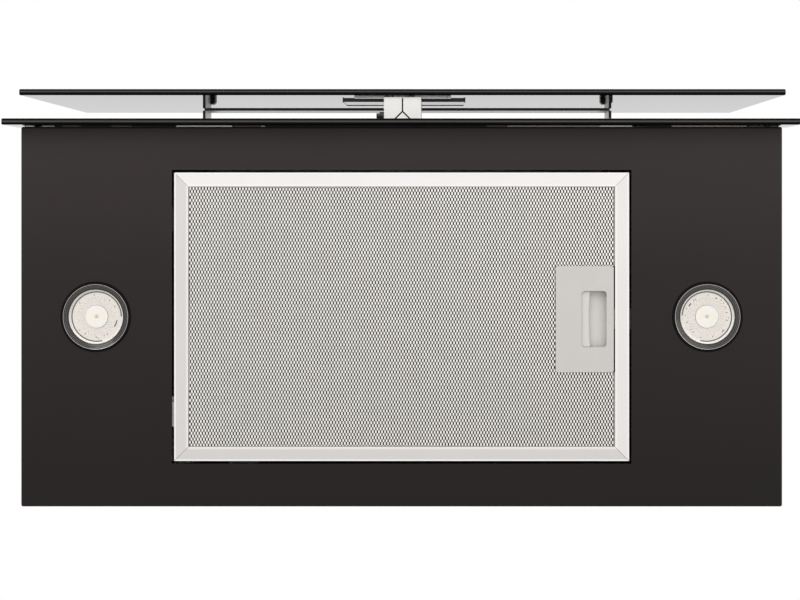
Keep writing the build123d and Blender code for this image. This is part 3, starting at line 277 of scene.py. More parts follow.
def satin_steel(name, low, high):
    """Plated steel; its faces that look down are darker."""
    s = Shader(name).set(Metallic=0.75)
    streak = s.noise(500.0, (0.05, 1, 1), detail=3.0)
    base = s.mix(streak, low, high)
    s.colour(s.mix(s.faces_down(), base, rgb(70, 66, 64)))
    s.rough(s.spread(streak, 0.30, 0.45))
    return s.bump(streak, 0.05, 0.0001).mat


def plain(name, low, high, rough, texture=900.0, strength=0.12, metallic=0.0, spec=0.5):
    """Moulded or cast surface: fine texture and slow tone change."""
    s = Shader(name).set(Metallic=metallic, Specular_IOR_Level=spec)
    tone = s.noise(25.0, detail=4.0)
    grain = s.noise(texture, detail=2.0)
    s.colour(s.mix(tone, low, high))
    s.rough(s.spread(grain, rough - 0.06, rough + 0.06))
    return s.bump(grain, strength, 0.0002).mat


def box_paint():
    """White folded sheet; inside its walls the cut edges of its floor flaps and all faces above
    the floor are painted dark, as painted shade.
    """
    s = Shader("box_paint").set(Roughness=0.4, Specular_IOR_Level=0.3)
    tone = s.noise(60.0, detail=3.0)
    low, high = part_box("control_box")
    x, y, z = s.axes()
    # painted shade: faces inside the box walls, and all above its floor, are painted dark
    inside = s.math("MAXIMUM", s.math("SUBTRACT", 1.0, s.faces_down()),
                    s.math("GREATER_THAN", z, low.z + BOX_FLOOR))
    for socket, start, end in ((x, low.x, high.x), (y, low.y, high.y)):
        inside = s.math("MULTIPLY", inside, s.math("GREATER_THAN", socket, start + BOX_WALL))
        inside = s.math("MULTIPLY", inside, s.math("LESS_THAN", socket, end - BOX_WALL))
    s.colour(s.mix(inside, s.mix(tone, rgb(250, 248, 243), rgb(255, 253, 249)),
                   rgb(22, 19, 18)))
    return s.bump(s.noise(700.0), 0.05, 0.0002).mat


def flange_plastic():
    """Pale gloss plastic; the tone of its cut edge, which looks down, varies."""
    s = Shader("flange_plastic").set(Roughness=0.08, IOR=1.5)
    tone = s.noise(80.0, detail=4.0)
    edge = s.mix(tone, rgb(222, 217, 212), rgb(252, 249, 245))
    s.colour(s.mix(s.faces_down(), rgb(226, 223, 219), edge))
    return s.bump(tone, 0.03, 0.0002).mat


def hook_steel():
    """The rear hook, which shows in the left gap, is bright; the front one is painted dark, as
    painted shade.
    """
    s = Shader("hook_steel").set(Roughness=0.4, Metallic=0.3)
    rear = s.math("GREATER_THAN", s.axes()[1], 0.0)
    tone = s.noise(300.0, detail=3.0)
    s.colour(s.mix(rear, rgb(24, 22, 21),
                   s.mix(tone, rgb(150, 147, 143), rgb(186, 183, 179))))
    return s.bump(tone, 0.05, 0.0001).mat


def slider_plastic():
    """The latch's slider; its tongue is painted dark where it leaves the frame, as painted shade
    in the gap.
    """
    s = Shader("slider_plastic").set(Specular_IOR_Level=0.4)
    outside = s.math("GREATER_THAN", s.axes()[0], TONGUE_X)
    tone = s.noise(25.0, detail=4.0)
    grain = s.noise(1600.0, detail=2.0)
    s.colour(s.mix(outside, s.mix(tone, rgb(212, 209, 203), rgb(220, 217, 211)),
                   rgb(24, 22, 21)))
    s.rough(s.spread(grain, 0.4, 0.5))
    return s.bump(grain, 0.08, 0.0002).mat


def frame_aluminium():
    """Satin aluminium, brushed along each mitred bar; painted light makes the front and right bars
    lighter than the rear and left ones, and painted highlights brighten the edges.
    """
    s = Shader("frame_aluminium").set(Metallic=0.35)
    x, y, _ = s.axes()
    to_side = s.math("SUBTRACT", FRAME_HALF_X, s.math("ABSOLUTE", x))
    to_end = s.math("SUBTRACT", FRAME_HALF_Y, s.math("ABSOLUTE", y))
    side_bar = s.math("LESS_THAN", to_side, to_end)
    along_x = s.noise(2600.0, (0.012, 1, 1), detail=3.0)
    along_y = s.noise(2600.0, (1, 0.012, 1), detail=3.0)
    brush = s.mix(side_bar, along_x, along_y)
    slow = s.noise(18.0, detail=3.0)
    # painted light: the right bar is lighter than the left one, the front bar lighter than the
    # rear one
    sides = s.mix(s.math("GREATER_THAN", x, 0.0), rgb(223, 219, 216), rgb(242, 238, 235))
    ends = s.mix(s.math("GREATER_THAN", y, 0.0), rgb(252, 249, 247), rgb(220, 215, 211))
    lit_tint = s.mix(side_bar, ends, sides)
    mottled_lit_tint = s.mix(s.math("MULTIPLY", slow, 0.35), lit_tint, rgb(214, 210, 206))
    # painted highlights along the outer and inner edges of each bar
    across = s.math("MULTIPLY", s.math("MINIMUM", to_side, to_end), 1 / FRAME_BAR)
    bright = s.ramp(across, [(0.0, (1.0,) * 3), (0.08, (0.9,) * 3), (0.14, (0.0,) * 3),
                             (0.80, (0.0,) * 3), (0.92, (0.6,) * 3), (1.0, (0.8,) * 3)])
    highlighted = s.mix(bright, mottled_lit_tint, rgb(255, 254, 251))
    mitre = s.math("ABSOLUTE", s.math("SUBTRACT", to_side, to_end))
    joint = s.math("MULTIPLY", s.math("LESS_THAN", mitre, MITRE_HALF), 0.75)
    jointed = s.mix(joint, highlighted, rgb(60, 57, 54))
    s.colour(s.mix(s.spread(brush, 0.0, 0.12), jointed, rgb(190, 186, 182)))
    s.rough(s.spread(brush, 0.28, 0.46))
    return s.bump(brush, 0.06, 0.0001).mat


def mesh_aluminium(name, low, high):
    """Strands of the visible sheet in lit and shaded copies, as painted light and shade: lit right
    of a hole, half lit left of it, shaded where slanted.
    """
    s = Shader(name).set(Metallic=0.35)
    tone = s.noise(60.0, detail=4.0)
    grain = s.noise(2500.0, detail=2.0)
    s.colour(s.mix(tone, low, high))
    s.rough(s.spread(grain, 0.30, 0.46))
    return s.mat


def core_aluminium():
    """Inner filter layer, painted dark as painted shade inside the pack, with a few faint gleams.
    """
    s = Shader("core_aluminium").set(Metallic=0.2, Roughness=0.6, Specular_IOR_Level=0.2)
    cells = s.voronoi(520.0, (1.0, 0.55, 1.0), "Distance")
    tone = s.noise(120.0, detail=4.0)
    shade = s.math("MULTIPLY_ADD", cells, 1.1, s.math("MULTIPLY", tone, 0.4))
    s.colour(s.ramp(shade, [(0.15, rgb(4, 4, 3)), (0.85, rgb(26, 24, 22))]))
    return s.bump(cells, 0.4, 0.0006).mat


def sheet_aluminium():
    """The pack's upper sheet: a diamond pattern of bright strands and dark holes."""
    s = Shader("sheet_aluminium").set(Metallic=0.5, Roughness=0.4)
    x, y, _ = s.axes()
    wide = s.math("COSINE", s.math("MULTIPLY", x, 2 * math.pi / SHEET_PITCH_X))
    tall = s.math("COSINE", s.math("MULTIPLY", y, math.pi / SHEET_ROW_Y))
    cell = s.math("MULTIPLY", wide, tall)
    s.colour(s.ramp(s.math("MULTIPLY_ADD", cell, 0.5, 0.5),
                    [(0.55, rgb(206, 203, 198)), (0.80, rgb(40, 37, 35))]))
    return s.bump(cell, 0.3, 0.0004).mat


def lens_plastic(name, low, high):
    """Pressed clear plastic over a white reflector."""
    s = Shader(name).set(Roughness=0.12, IOR=1.5)
    cloud = s.noise(900.0, detail=4.0)
    s.colour(s.mix(cloud, low, high))
    return s.bump(cloud, 0.2, 0.0003).mat


# a plain one names its darker and lighter tone, roughness, scale and strength of the grain,
# metallic and specular level
MATERIALS = {
    "tray": tray_paint(),
    "glass": black_glass("black_glass", 0.015, 1.46),
    "panel_edge": glass_edge("panel_edge", -175.7 * MM, 0.38),
    "strip_edge": glass_edge("strip_edge", -150.3 * MM, 0.46),
    "casing": galvanised(),
    "carrier": satin_steel("carrier_steel", rgb(150, 148, 145), rgb(186, 184, 181)),
    "box": box_paint(),
    "flange": flange_plastic(),
    "board": black_glass("board_black", 0.12, 1.52),
    "black": plain("black_plastic", rgb(26, 26, 26), rgb(38, 38, 37), 0.48, 700.0, 0.3),
    "rubber": plain("black_rubber", rgb(16, 15, 15), rgb(27, 26, 25), 0.62, 1400.0, 0.3),
    "tape": plain("tape_black", rgb(16, 14, 13), rgb(26, 23, 22), 0.6),
    # painted glints of light through the slit, in three brightnesses
    "glint": plain("glint_pale", rgb(246, 242, 234), rgb(255, 252, 246), 0.5, 160.0),
    "glint_grey": plain("glint_grey", rgb(140, 134, 128), rgb(196, 190, 184), 0.5, 160.0),
    "glint_faint": plain("glint_faint", rgb(56, 52, 50), rgb(104, 98, 94), 0.5, 160.0),
    "white": plain("white_plastic", rgb(218, 217, 212), rgb(232, 231, 226), 0.42),
    "pcb": plain("board_green", rgb(24, 84, 48), rgb(36, 104, 60), 0.35),
    "can": plain("motor_can", (0.42, 0.42, 0.43), (0.58, 0.58, 0.59), 0.38, 600.0, 0.1, 0.9),
    "zinc": plain("zinc_plate", (0.55, 0.55, 0.54), (0.72, 0.72, 0.70), 0.3, 900.0, 0.1, 0.95),
    "frame": frame_aluminium(),
    "hooks": hook_steel(),
    # lit, half lit and shaded copies of the strands: painted light and shade
    "mesh": mesh_aluminium("mesh_bright", rgb(252, 249, 244), rgb(255, 254, 251)),
    "mesh_grey": mesh_aluminium("mesh_grey", rgb(222, 217, 211), rgb(242, 238, 232)),
    "mesh_shade": mesh_aluminium("mesh_shade", rgb(190, 185, 179), rgb(220, 215, 209)),
    # grey strip of painted shade under the frame's lip
    "edge_shade": plain("mesh_edge_shade", rgb(142, 138, 132), rgb(172, 168, 162), 0.4, 900.0, 0.1, 0.3),
    "core": core_aluminium(),
    "sheet": sheet_aluminium(),
    "latch": plain("latch_plastic", rgb(201, 197, 192), rgb(209, 205, 200), 0.45, 1600.0, 0.08),
    "slider": slider_plastic(),
    # dark gasket under the rim, widened onto the tray as painted shadow round the lamp
    "gasket_and_shadow": plain("gasket_and_shadow", rgb(18, 15, 14), rgb(26, 22, 21), 0.8, 1400.0, 0.2, 0.0, 0.05),
    "rim": plain("rim_dark", rgb(34, 32, 30), rgb(50, 47, 45), 0.16, 300.0, 0.15, 0.2),
    "rim_line": plain("rim_line", rgb(96, 93, 90), rgb(132, 129, 126), 0.2, 300.0, 0.1, 0.3),
    "bright": plain("rim_bright", rgb(150, 147, 144), rgb(190, 187, 184), 0.2, 900.0, 0.05, 0.5),
    "lens": lens_plastic("lens_clear", rgb(222, 215, 207), rgb(242, 236, 228)),
    # the ribs' darker tone is painted shade of their relief
    "lens_rib": lens_plastic("lens_rib", rgb(196, 188, 180), rgb(220, 213, 205)),
    "lens_line": lens_plastic("lens_line", rgb(74, 69, 66), rgb(124, 118, 113)),
    "lens_white": lens_plastic("lens_white", rgb(238, 234, 226), rgb(250, 247, 240)),
    "lens_warm": lens_plastic("lens_warm", rgb(241, 235, 216), rgb(249, 244, 228)),
    "chip": lens_plastic("led_chip", rgb(130, 124, 120), rgb(214, 206, 192)),
}

DRESS = {
    "tray": ["bottom_panel"],
    "glass": ["front_strip", "glass_panel"],
    "tape": ["strip_tape"],
    "casing": ["casing_front", "casing_rear", "casing_left", "casing_right", "top_cover",
               "guide_rail_left", "guide_rail_right", "cabinet_bracket_left",
               "cabinet_bracket_right", "capacitor_strap", "motor_bracket"],
    "carrier": ["carrier_bar", "slide_arm_left", "slide_arm_right", "lamp_clips"],
    "box": ["control_box"],
    "flange": ["control_flange"],
    "hooks": ["filter_hooks"],
    "board": ["touch_board"],
    "black": ["outlet_collar", "volute_left", "volute_right", "flap_left", "flap_right",
              "impeller", "cable_gland", "cable_bush", "flange_clips"],
    "rubber": ["motor_grommets", "arm_bumpers"],
    "white": ["slide_glides", "electronics_box", "electronics_cover"],
    "pcb": ["circuit_board"],
    "can": ["motor", "run_capacitor", "led_module_left", "led_module_right"],
    "zinc": ["cover_screws", "collar_screws", "bracket_screws", "latch_spring", "motor_shaft"],
    "frame": ["filter_frame"],
    "mesh": ["mesh_outer"],
    "sheet": ["mesh_inner"],
    "core": ["mesh_core"],
    "latch": ["latch_plate"],
    "slider": ["latch_slider"],
    "rim": ["lamp_bezel_left", "lamp_bezel_right"],
    "lens": ["lamp_lens_left", "lamp_lens_right"],
}


def dress_nodes():
    """Each CAD node gets its procedural material."""
    for key, names in DRESS.items():
        for name in names:
            data = NODES[name].data
            data.materials.clear()
            data.materials.append(MATERIALS[key])


dress_nodes()


# ---------------------------------------------------------------- mesh helpers
def make_object(name, bm, materials, body, replaced=()):
    """A finished piece from a bmesh, with one or more materials."""
    mesh = bpy.data.meshes.new(name)
    bm.to_mesh(mesh)
    bm.free()
    for key in materials:
        mesh.materials.append(MATERIALS[key])
    obj = bpy.data.objects.new(name, mesh)
    bpy.context.scene.collection.objects.link(obj)
    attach(obj, body)
    if replaced:
        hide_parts(*replaced)
    return obj


def smooth(obj, angle):
    """Smooth shading with sharp edges above an angle, in degrees."""
    for polygon in obj.data.polygons:
        polygon.use_smooth = True
    bpy.context.view_layer.objects.active = obj
    obj.select_set(True)
    bpy.ops.object.shade_smooth_by_angle(angle=math.radians(angle))
    obj.select_set(False)


def slab(low, high, end_radius, arris):
    """A plate between two corners: rounded upright edges, fine bevels along the others."""
    bm = bmesh.new()
    bmesh.ops.create_cube(bm, size=1.0)
    for vert in bm.verts:
        for i in range(3):
            vert.co[i] = (low[i] + high[i]) / 2 + vert.co[i] * (high[i] - low[i])

    def rise(edge):
        return abs((edge.verts[0].co - edge.verts[1].co).normalized().z)

    if end_radius:
        upright = [edge for edge in bm.edges if rise(edge) > 0.9]
        bmesh.ops.bevel(bm, geom=upright, offset=end_radius, segments=4, affect="EDGES",
                        profile=0.5)
    rims = [edge for edge in bm.edges if rise(edge) < 0.1]
    bmesh.ops.bevel(bm, geom=rims, offset=arris, segments=2, affect="EDGES", profile=0.5)
    return bm


def add_box(bm, x0, x1, y0, y1, z0, z1, slot=0):
    """A closed box in the mesh, all its faces in one material slot."""
    low, high = [[bm.verts.new((x, y, z)) for x, y in ((x0, y0), (x1, y0), (x1, y1), (x0, y1))]
                 for z in (z0, z1)]
    faces = [low[::-1], high]
    for i in range(4):
        j = (i + 1) % 4
        faces.append([low[i], low[j], high[j], high[i]])
    for face in faces:
        bm.faces.new(face).material_index = slot


def join_rings(bm, ring, new, tone=0):
    """Faces between two rings of as many corners."""
    for i in range(len(ring)):
        j = (i + 1) % len(ring)
        bm.faces.new((ring[i], ring[j], new[j], new[i])).material_index = tone


# ---------------------------------------------------------------- glass
GLASS_END_R = 1.1 * MM    # rounding of the glass's upright edges
GLASS_ARRIS = 0.25 * MM


def glass_piece(name, node, body, edge):
    """Glass with ground, rounded edges; the edge that looks down has its own material."""
    low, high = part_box(node)
    bm = slab(low, high, GLASS_END_R, GLASS_ARRIS)
    bm.normal_update()
    for face in bm.faces:
        if face.normal.z < -0.5:
            face.material_index = 1
    make_object(name, bm, ("glass", edge), body, (node,))


glass_piece("glass_front_panel", "glass_panel", "front_panel", "panel_edge")
glass_piece("glass_strip", "front_strip", "housing", "strip_edge")


# ---------------------------------------------------------------- expanded mesh
PITCH_X = 2.366 * MM      # short way of a diamond
ROW_Y = 2.28 * MM         # half its long way
BRIGHT_HALF = 0.38 * MM   # half widths of a strand, right and left of a hole
GREY_HALF = 0.27 * MM
STRAND_T = 0.28 * MM      # strand thickness
STRAND_RISE = 0.08 * MM   # half the height between a strand's two edges
BOND = 0.40               # half length of a bond, as a share of a row
TURN = 0.008              # the sheet lies a little askew in its frame, in radians
EDGE_STEPS = 7            # halvings when a strand is cut at an edge
# painted light and shade: strands lit right of a hole, half lit left of it, in shade where slanted
BRIGHT, GREY, SHADE = 0, 1, 2   # material slots: right and left of a hole, slanted
MESH_WINDOW = (-162.2 * MM, 161.7 * MM, -98.9 * MM, 98.8 * MM)   # x and y where strands end
EDGE_SHADE_REACH = (-163.6 * MM, 163.6 * MM, -100.1 * MM, 100.1 * MM)   # outer edge of the grey strip of painted shade
LATCH_GAP = 0.12 * MM     # between the sheet and the latch plate
SHEET_LIFT = 0.1 * MM     # of the sheet over the lower face of its solid


class Cutting:
    """Where the sheet is: inside its rectangle and outside the latch's hole."""

    def __init__(self, x_span, y_span, hole):
        self.x_span, self.y_span, self.hole = x_span, y_span, hole

    def keeps(self, x, y):
        if not (self.x_span[0] <= x <= self.x_span[1] and self.y_span[0] <= y <= self.y_span[1]):
            return False
        return not (self.hole[0] < x < self.hole[1] and self.hole[2] < y < self.hole[3])

    def border(self, a, b):
        """The point between a and b where the sheet ends."""
        first = self.keeps(*a)
        for _ in range(EDGE_STEPS):
            mid = ((a[0] + b[0]) / 2, (a[1] + b[1]) / 2)
            if self.keeps(*mid) == first:
                a = mid
            else:
                b = mid
        return a if first else b


def expanded_sheet(name, cutting, z_low, replaced):
    """Expanded metal: zigzag strands that meet in pairs, each tilted like a louvre."""
    bm = bmesh.new()
    margin = 2 * ROW_Y
    x0, x1 = cutting.x_span[0] - margin, cutting.x_span[1] + margin
    y0, y1 = cutting.y_span[0] - margin, cutting.y_span[1] + margin
    rows = round((y1 - y0) / ROW_Y)
    columns = round((x1 - x0) / PITCH_X)
    for column in range(columns):
        for hand in (-1, 1):
            home = x0 + (column + 0.5) * PITCH_X
            chain = []
            for row in range(rows + 1):
                near = row % 2 == 0
                left_of_hole = near == (hand == 1)
                half = GREY_HALF if left_of_hole else BRIGHT_HALF
                x = home + hand * (half if near else PITCH_X / 2 - half)
                y = y0 + row * ROW_Y
                for side, tone in ((-1, GREY if left_of_hole else BRIGHT), (1, SHADE)):
                    along = y + side * BOND * ROW_Y
                    chain.append((x - TURN * along, along + TURN * x, half, tone))
            run_strand(bm, chain, z_low + STRAND_RISE, cutting)
    make_object(name, bm, ("mesh", "mesh_grey", "mesh_shade"), "grease_filter",
                replaced)


def run_strand(bm, chain, z, cutting):
    """One strand as a thin tilted tube, cut where the sheet ends."""
    ring = None
    tone = BRIGHT
    before = None
    for x, y, half, next_tone in chain:
        here = (x, y)
        inside = cutting.keeps(*here)
        if before and cutting.keeps(*before) != inside:
            cut = cutting.border(before, here)
            new = strand_ring(bm, cut, half, z)
            if inside:
                bm.faces.new(new)
                ring = new
            else:
                join_rings(bm, ring, new, tone)
                bm.faces.new(new[::-1])
                ring = None
        if inside:
            new = strand_ring(bm, here, half, z)
            if ring is None:
                bm.faces.new(new)
            else:
                join_rings(bm, ring, new, tone)
            ring = new
        before = here
        tone = next_tone
    if ring:
        bm.faces.new(ring[::-1])


def strand_ring(bm, place, half, z):
    """Cross-section of a strand, one edge higher than the other."""
    corners = ((-half, -STRAND_RISE), (half, STRAND_RISE), (half, STRAND_RISE + STRAND_T),
               (-half, -STRAND_RISE + STRAND_T))
    return [bm.verts.new((place[0] + dx, place[1], z + dz)) for dx, dz in corners]


def mesh_edge_shade(outer, inner, latch, z_low):
    """Flat grey strip round the sheet's border, just inside the frame's lip: painted shade under
    the lip.
    """
    bars = [(outer[0], outer[1], outer[2], inner[2]), (outer[0], outer[1], inner[3], outer[3]),
            (outer[0], inner[0], inner[2], inner[3]), (inner[1], outer[1], inner[2], latch[0]),
            (inner[1], outer[1], latch[1], inner[3])]
    bm = bmesh.new()
    for x0, x1, y0, y1 in bars:
        add_box(bm, x0, x1, y0, y1, z_low, z_low + STRAND_T)
    make_object("mesh_edge_shade", bm, ("edge_shade",), "grease_filter")


def filter_mesh():
    """The visible sheet of the mesh pack."""
    low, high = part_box("mesh_outer")
    plate_low, plate_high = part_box("latch_plate")
    hole = (plate_low.x - LATCH_GAP, high.x + LATCH_GAP,
            plate_low.y - LATCH_GAP, plate_high.y + LATCH_GAP)
    z_low = low.z + SHEET_LIFT
    expanded_sheet("mesh_outer_expanded", Cutting(MESH_WINDOW[:2], MESH_WINDOW[2:], hole),
                   z_low, ("mesh_outer",))
    # the grey strip of painted shade under the frame's lip
    mesh_edge_shade(EDGE_SHADE_REACH, MESH_WINDOW, hole[2:], z_low)


filter_mesh()


# ---------------------------------------------------------------- control flange
FLANGE_H = 10.0 * MM      # height that the photograph shows
FLANGE_ARRIS = 0.15 * MM


def control_flange():
    """Short pale flange under the touch board, with fine bevels."""
    low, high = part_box("control_flange")
    high.z = low.z + FLANGE_H
    bm = slab(low, high, 0.0, FLANGE_ARRIS)
    obj = make_object("control_flange_clear", bm, ("flange",), "front_panel",
                      ("control_flange",))
    smooth(obj, 40)


control_flange()


# ---------------------------------------------------------------- touch board
BOARD_H = 36.0 * MM       # height that the photograph shows
BOARD_SHEET = 1.65 * MM   # thickness inside the rim
BOARD_RIM = 1.0 * MM      # width of the rim at both sides and on top


def touch_board():
    """Dark board behind the glass, with a low rim round its rear face, open below."""
    low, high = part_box("touch_board")
    face = low.y + BOARD_SHEET
    left, right = low.x + BOARD_RIM, high.x - BOARD_RIM
    outline = ((low.x, low.y), (high.x, low.y), (high.x, high.y), (right, high.y),
               (right, face), (left, face), (left, high.y), (low.x, high.y))
    bm = bmesh.new()
    foot, shelf = [[bm.verts.new((x, y, z)) for x, y in outline]
                   for z in (low.z, low.z + BOARD_H - BOARD_RIM)]
    top = [bm.verts.new((*outline[i], low.z + BOARD_H)) for i in (0, 1, 2, 7)]
    for corners in (foot, shelf[3:7], top, (shelf[0], shelf[1], top[1], top[0]),
                    (shelf[1], shelf[2], top[2], top[1]),
                    (shelf[2], shelf[3], shelf[6], shelf[7], top[3], top[2]),
                    (shelf[7], shelf[0], top[0], top[3])):
        bm.faces.new(corners)
    join_rings(bm, foot, shelf)
    bmesh.ops.recalc_face_normals(bm, faces=bm.faces)
    make_object("touch_board_rimmed", bm, ("board",), "front_panel",
                ("touch_board",))


touch_board()


# ---------------------------------------------------------------- latch spring
SPRING_FOLDS = 6          # straight legs of the folded strip
SPRING_T = 0.30 * MM      # strip thickness
BEND = (-0.12, 0.0, 0.12)   # points of a blunt bend, as shares of a leg


def folded_spring():
    """Spring strip folded to and fro, with a mesh of its own; the real strip shortens as the latch
    is drawn.
    """
    low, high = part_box("latch_spring")
    lean = SPRING_T * math.sqrt(2)
    pitch = (high.x - low.x - 2 * SPRING_T) / SPRING_FOLDS
    bends = []
    for fold in range(SPRING_FOLDS + 1):
        x = low.x + SPRING_T + fold * pitch
        z = high.z - lean if fold % 2 else low.z
        for share in ((0.0,) if fold in (0, SPRING_FOLDS) else BEND):
            drop = abs(share) * (high.z - low.z - lean)
            bends.append((x + share * pitch, z - drop if fold % 2 else z + drop))
    bm = bmesh.new()
    rings = []
    for x, z in bends:
        rings.append([bm.verts.new(place) for place in
                      ((x, low.y, z), (x, high.y, z), (x, high.y, z + lean),
                       (x, low.y, z + lean))])
    bm.faces.new(rings[0])
    bm.faces.new(rings[-1][::-1])
    for a, b in zip(rings, rings[1:]):
        join_rings(bm, a, b)
    bmesh.ops.recalc_face_normals(bm, faces=bm.faces)
    obj = make_object("latch_spring_strip", bm, ("zinc",), "grease_filter",
                      ("latch_spring",))
    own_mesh(obj)


folded_spring()


# ---------------------------------------------------------------- lamps
LAMP_X = 233.2 * MM
SEGMENTS = 144            # steps round a lamp
RIM, RIM_LINE, LIP, INNER, GASKET_AND_SHADOW = range(5)   # material slots of the bezel

# radius and height in mm and the material of the stretch that follows: the inner wall, the grooved
# cone, the lip, the gasket, whose dark ring out onto the tray is painted shadow round the rim,
# then the tube above the tray
BEZEL_PROFILE = [(20.20, 2.9, INNER), (20.30, 1.7, INNER), (20.60, 1.4, RIM),
                 (21.05, 1.5, RIM_LINE), (21.20, 1.2, RIM), (22.2, 0.8, RIM_LINE),
                 (22.35, 0.75, RIM), (23.3, 0.5, RIM_LINE), (23.5, 0.45, RIM),
                 (24.42, 0.1, LIP), (24.75, 0.0, LIP), (24.95, 0.3, GASKET_AND_SHADOW),
                 (25.15, 0.9, GASKET_AND_SHADOW), (26.9, 0.95, GASKET_AND_SHADOW), (26.9, 1.2, GASKET_AND_SHADOW),
                 (22.8, 1.2, RIM_LINE), (22.8, 15.2, RIM_LINE), (21.4, 15.2, RIM_LINE),
                 (21.4, 3.6, RIM_LINE), (20.2, 3.6, INNER)]


def turn_point(centre, radius, step, z):
    """A point at one of the steps round a lamp's axis."""
    angle = 2 * math.pi * step / SEGMENTS
    return (centre + radius * math.cos(angle), radius * math.sin(angle), z)


def lathe(bm, profile, centre):
    """Closed profile of (radius, z, material of the next stretch) turned about Z."""
    rings = []
    for step in range(SEGMENTS):
        rings.append([bm.verts.new(turn_point(centre, r, step, z)) for r, z, _ in profile])
    count = len(profile)
    for step in range(SEGMENTS):
        a, b = rings[step], rings[(step + 1) % SEGMENTS]
        for i in range(count):
            j = (i + 1) % count
            face = bm.faces.new((b[i], a[i], a[j], b[j]))
            face.material_index = profile[i][2]


def lamp_ring(side, x):
    """Bezel: bright lip, dark grooved cone, inner line and the tube above the tray."""
    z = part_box("lamp_bezel_" + side)[0].z
    bm = bmesh.new()
    lathe(bm, [(r * MM, z + h * MM, tone) for r, h, tone in BEZEL_PROFILE], x)
    obj = make_object("lamp_ring_" + side, bm,
                      ("rim", "rim_line", "bright", "lens_white", "gasket_and_shadow"),
                      "housing", ("lamp_bezel_" + side,))
    smooth(obj, 40)


# rings of the lens from the centre out: radius and height above the lens face, in mm
LENS_RINGS = [(0.5, 0.10), (1.0, 0.25), (1.6, 0.12), (2.4, 0.02), (4.5, 0.08), (6.6, 0.05),
              (8.6, 0.10), (8.78, 0.60), (9.1, 0.60), (9.9, 0.45), (10.8, 0.62), (11.7, 0.42),
              (12.6, 0.60), (13.5, 0.40), (14.4, 0.58), (15.3, 0.38), (16.2, 0.55),
              (16.9, 0.45), (17.2, 0.60), (18.4, 0.45), (19.0, 0.50), (19.35, 0.30),
              (20.1, 0.55), (21.3, 0.60)]
TIP_RISE = 0.2            # height of the lens's middle
CLEAR, RIB, LINE, WHITE, WARM, CHIP = range(6)   # material slots of the lens
RIB_STEP = 4              # steps from one rib to the next
RIB_RISE = 0.10           # height of a rib
RIB_SPAN = (9.5, 16.5)    # radii between which the ribs stand
# the ribs' darker tone is painted shade of their relief
RIB_SHARE = 0.75          # share of the ribs that show in their own tone
SPECK_SHARE = 0.04        # share of the facets that are dark specks
CHIP_STEPS = 12           # steps that one square of the chip takes up
WARM_TURN = 0.6           # turn of the two warm wings, in radians
CHIP_R, WARM_R, CENTRE_R, CENTRE_LINE_R, PLAIN_R, RIBBED_R, SPECKLED_R = (
    1.6, 6.6, 8.6, 8.78, 9.1, 15.3, 16.9)   # outer radii of the zones, from the centre out
# the dark arc is painted shadow of the recess on the lens
ARC_R = (18.5, 19.35)     # the dark arc
ARC_START = 30            # step after which the arc shows
DASH_R = 16.2
DASHES = {"left": range(4, 12), "right": (122, 129, 130, 131, 132)}   # steps with a dark dash


def lens_tone(ring, step, side):
    """Material slot of one facet of the lens."""
    radius = LENS_RINGS[ring][0]
    if radius == DASH_R and step in DASHES[side]:
        return LINE
    if radius <= CHIP_R:
        return CHIP if (step // CHIP_STEPS + ring) % 2 == 0 else WHITE
    if radius <= WARM_R:
        return WARM if math.cos(4 * math.pi * step / SEGMENTS + WARM_TURN) > 0.1 else WHITE
    if radius <= CENTRE_R:
        return WHITE
    if radius <= CENTRE_LINE_R:
        return LINE
    if radius <= PLAIN_R:
        return CLEAR
    if radius <= RIBBED_R:
        # ribs in a darker tone: painted shade of their relief
        return RIB if (step + ring) % RIB_STEP == 0 and random.random() < RIB_SHARE else CLEAR
    if radius <= SPECKLED_R:
        return LINE if random.random() < SPECK_SHARE else CLEAR
    # the arc: painted shadow of the recess, on part of the way round
    if ARC_R[0] < radius <= ARC_R[1]:
        return LINE if step > ARC_START else CLEAR
    return WHITE if radius > ARC_R[1] else CLEAR


def lamp_optic(side, x):
    """Pressed lens: a warm centre with the chip behind it, ribs and outer rings.

    The right lens is mirrored; its dashes and its random ribs and specks are its own.
    """
    random.seed(len(side))
    low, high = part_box("lamp_lens_" + side)
    bm = bmesh.new()
    grid = []
    for radius, height in LENS_RINGS:
        row = []
        for step in range(SEGMENTS):
            ribbed = RIB_SPAN[0] < radius < RIB_SPAN[1] and step % RIB_STEP == 0
            rib = RIB_RISE if ribbed else 0.0
            row.append(bm.verts.new(turn_point(x, radius * MM, step,
                                               low.z + (height + rib) * MM)))
        grid.append(row)
    tip = bm.verts.new((x, 0.0, low.z + TIP_RISE * MM))
    back = [bm.verts.new((v.co.x, v.co.y, high.z)) for v in grid[-1]]
    for step in range(SEGMENTS):
        after = (step + 1) % SEGMENTS
        bm.faces.new((tip, grid[0][after], grid[0][step])).material_index = CHIP
        for ring in range(len(grid) - 1):
            face = bm.faces.new((grid[ring][step], grid[ring][after],
                                 grid[ring + 1][after], grid[ring + 1][step]))
            mirrored = step if side == "left" else (SEGMENTS // 2 - step) % SEGMENTS
            face.material_index = lens_tone(ring + 1, mirrored, side)
        bm.faces.new((grid[-1][step], grid[-1][after], back[after], back[step]))
    bm.faces.new(back)
    obj = make_object("lamp_optic_" + side, bm,
                      ("lens", "lens_rib", "lens_line", "lens_white", "lens_warm", "chip"),
                      "housing", ("lamp_lens_" + side,))
    smooth(obj, 50)


def lamps():
    for side, sign in (("left", -1), ("right", 1)):
        lamp_ring(side, sign * LAMP_X)
        lamp_optic(side, sign * LAMP_X)


lamps()


# ---------------------------------------------------------------- painted glints in the tape's slit
GLINT_Y = (-145.5 * MM, -145.0 * MM)
GLINT_Z = (-16.8 * MM, -15.0 * MM)
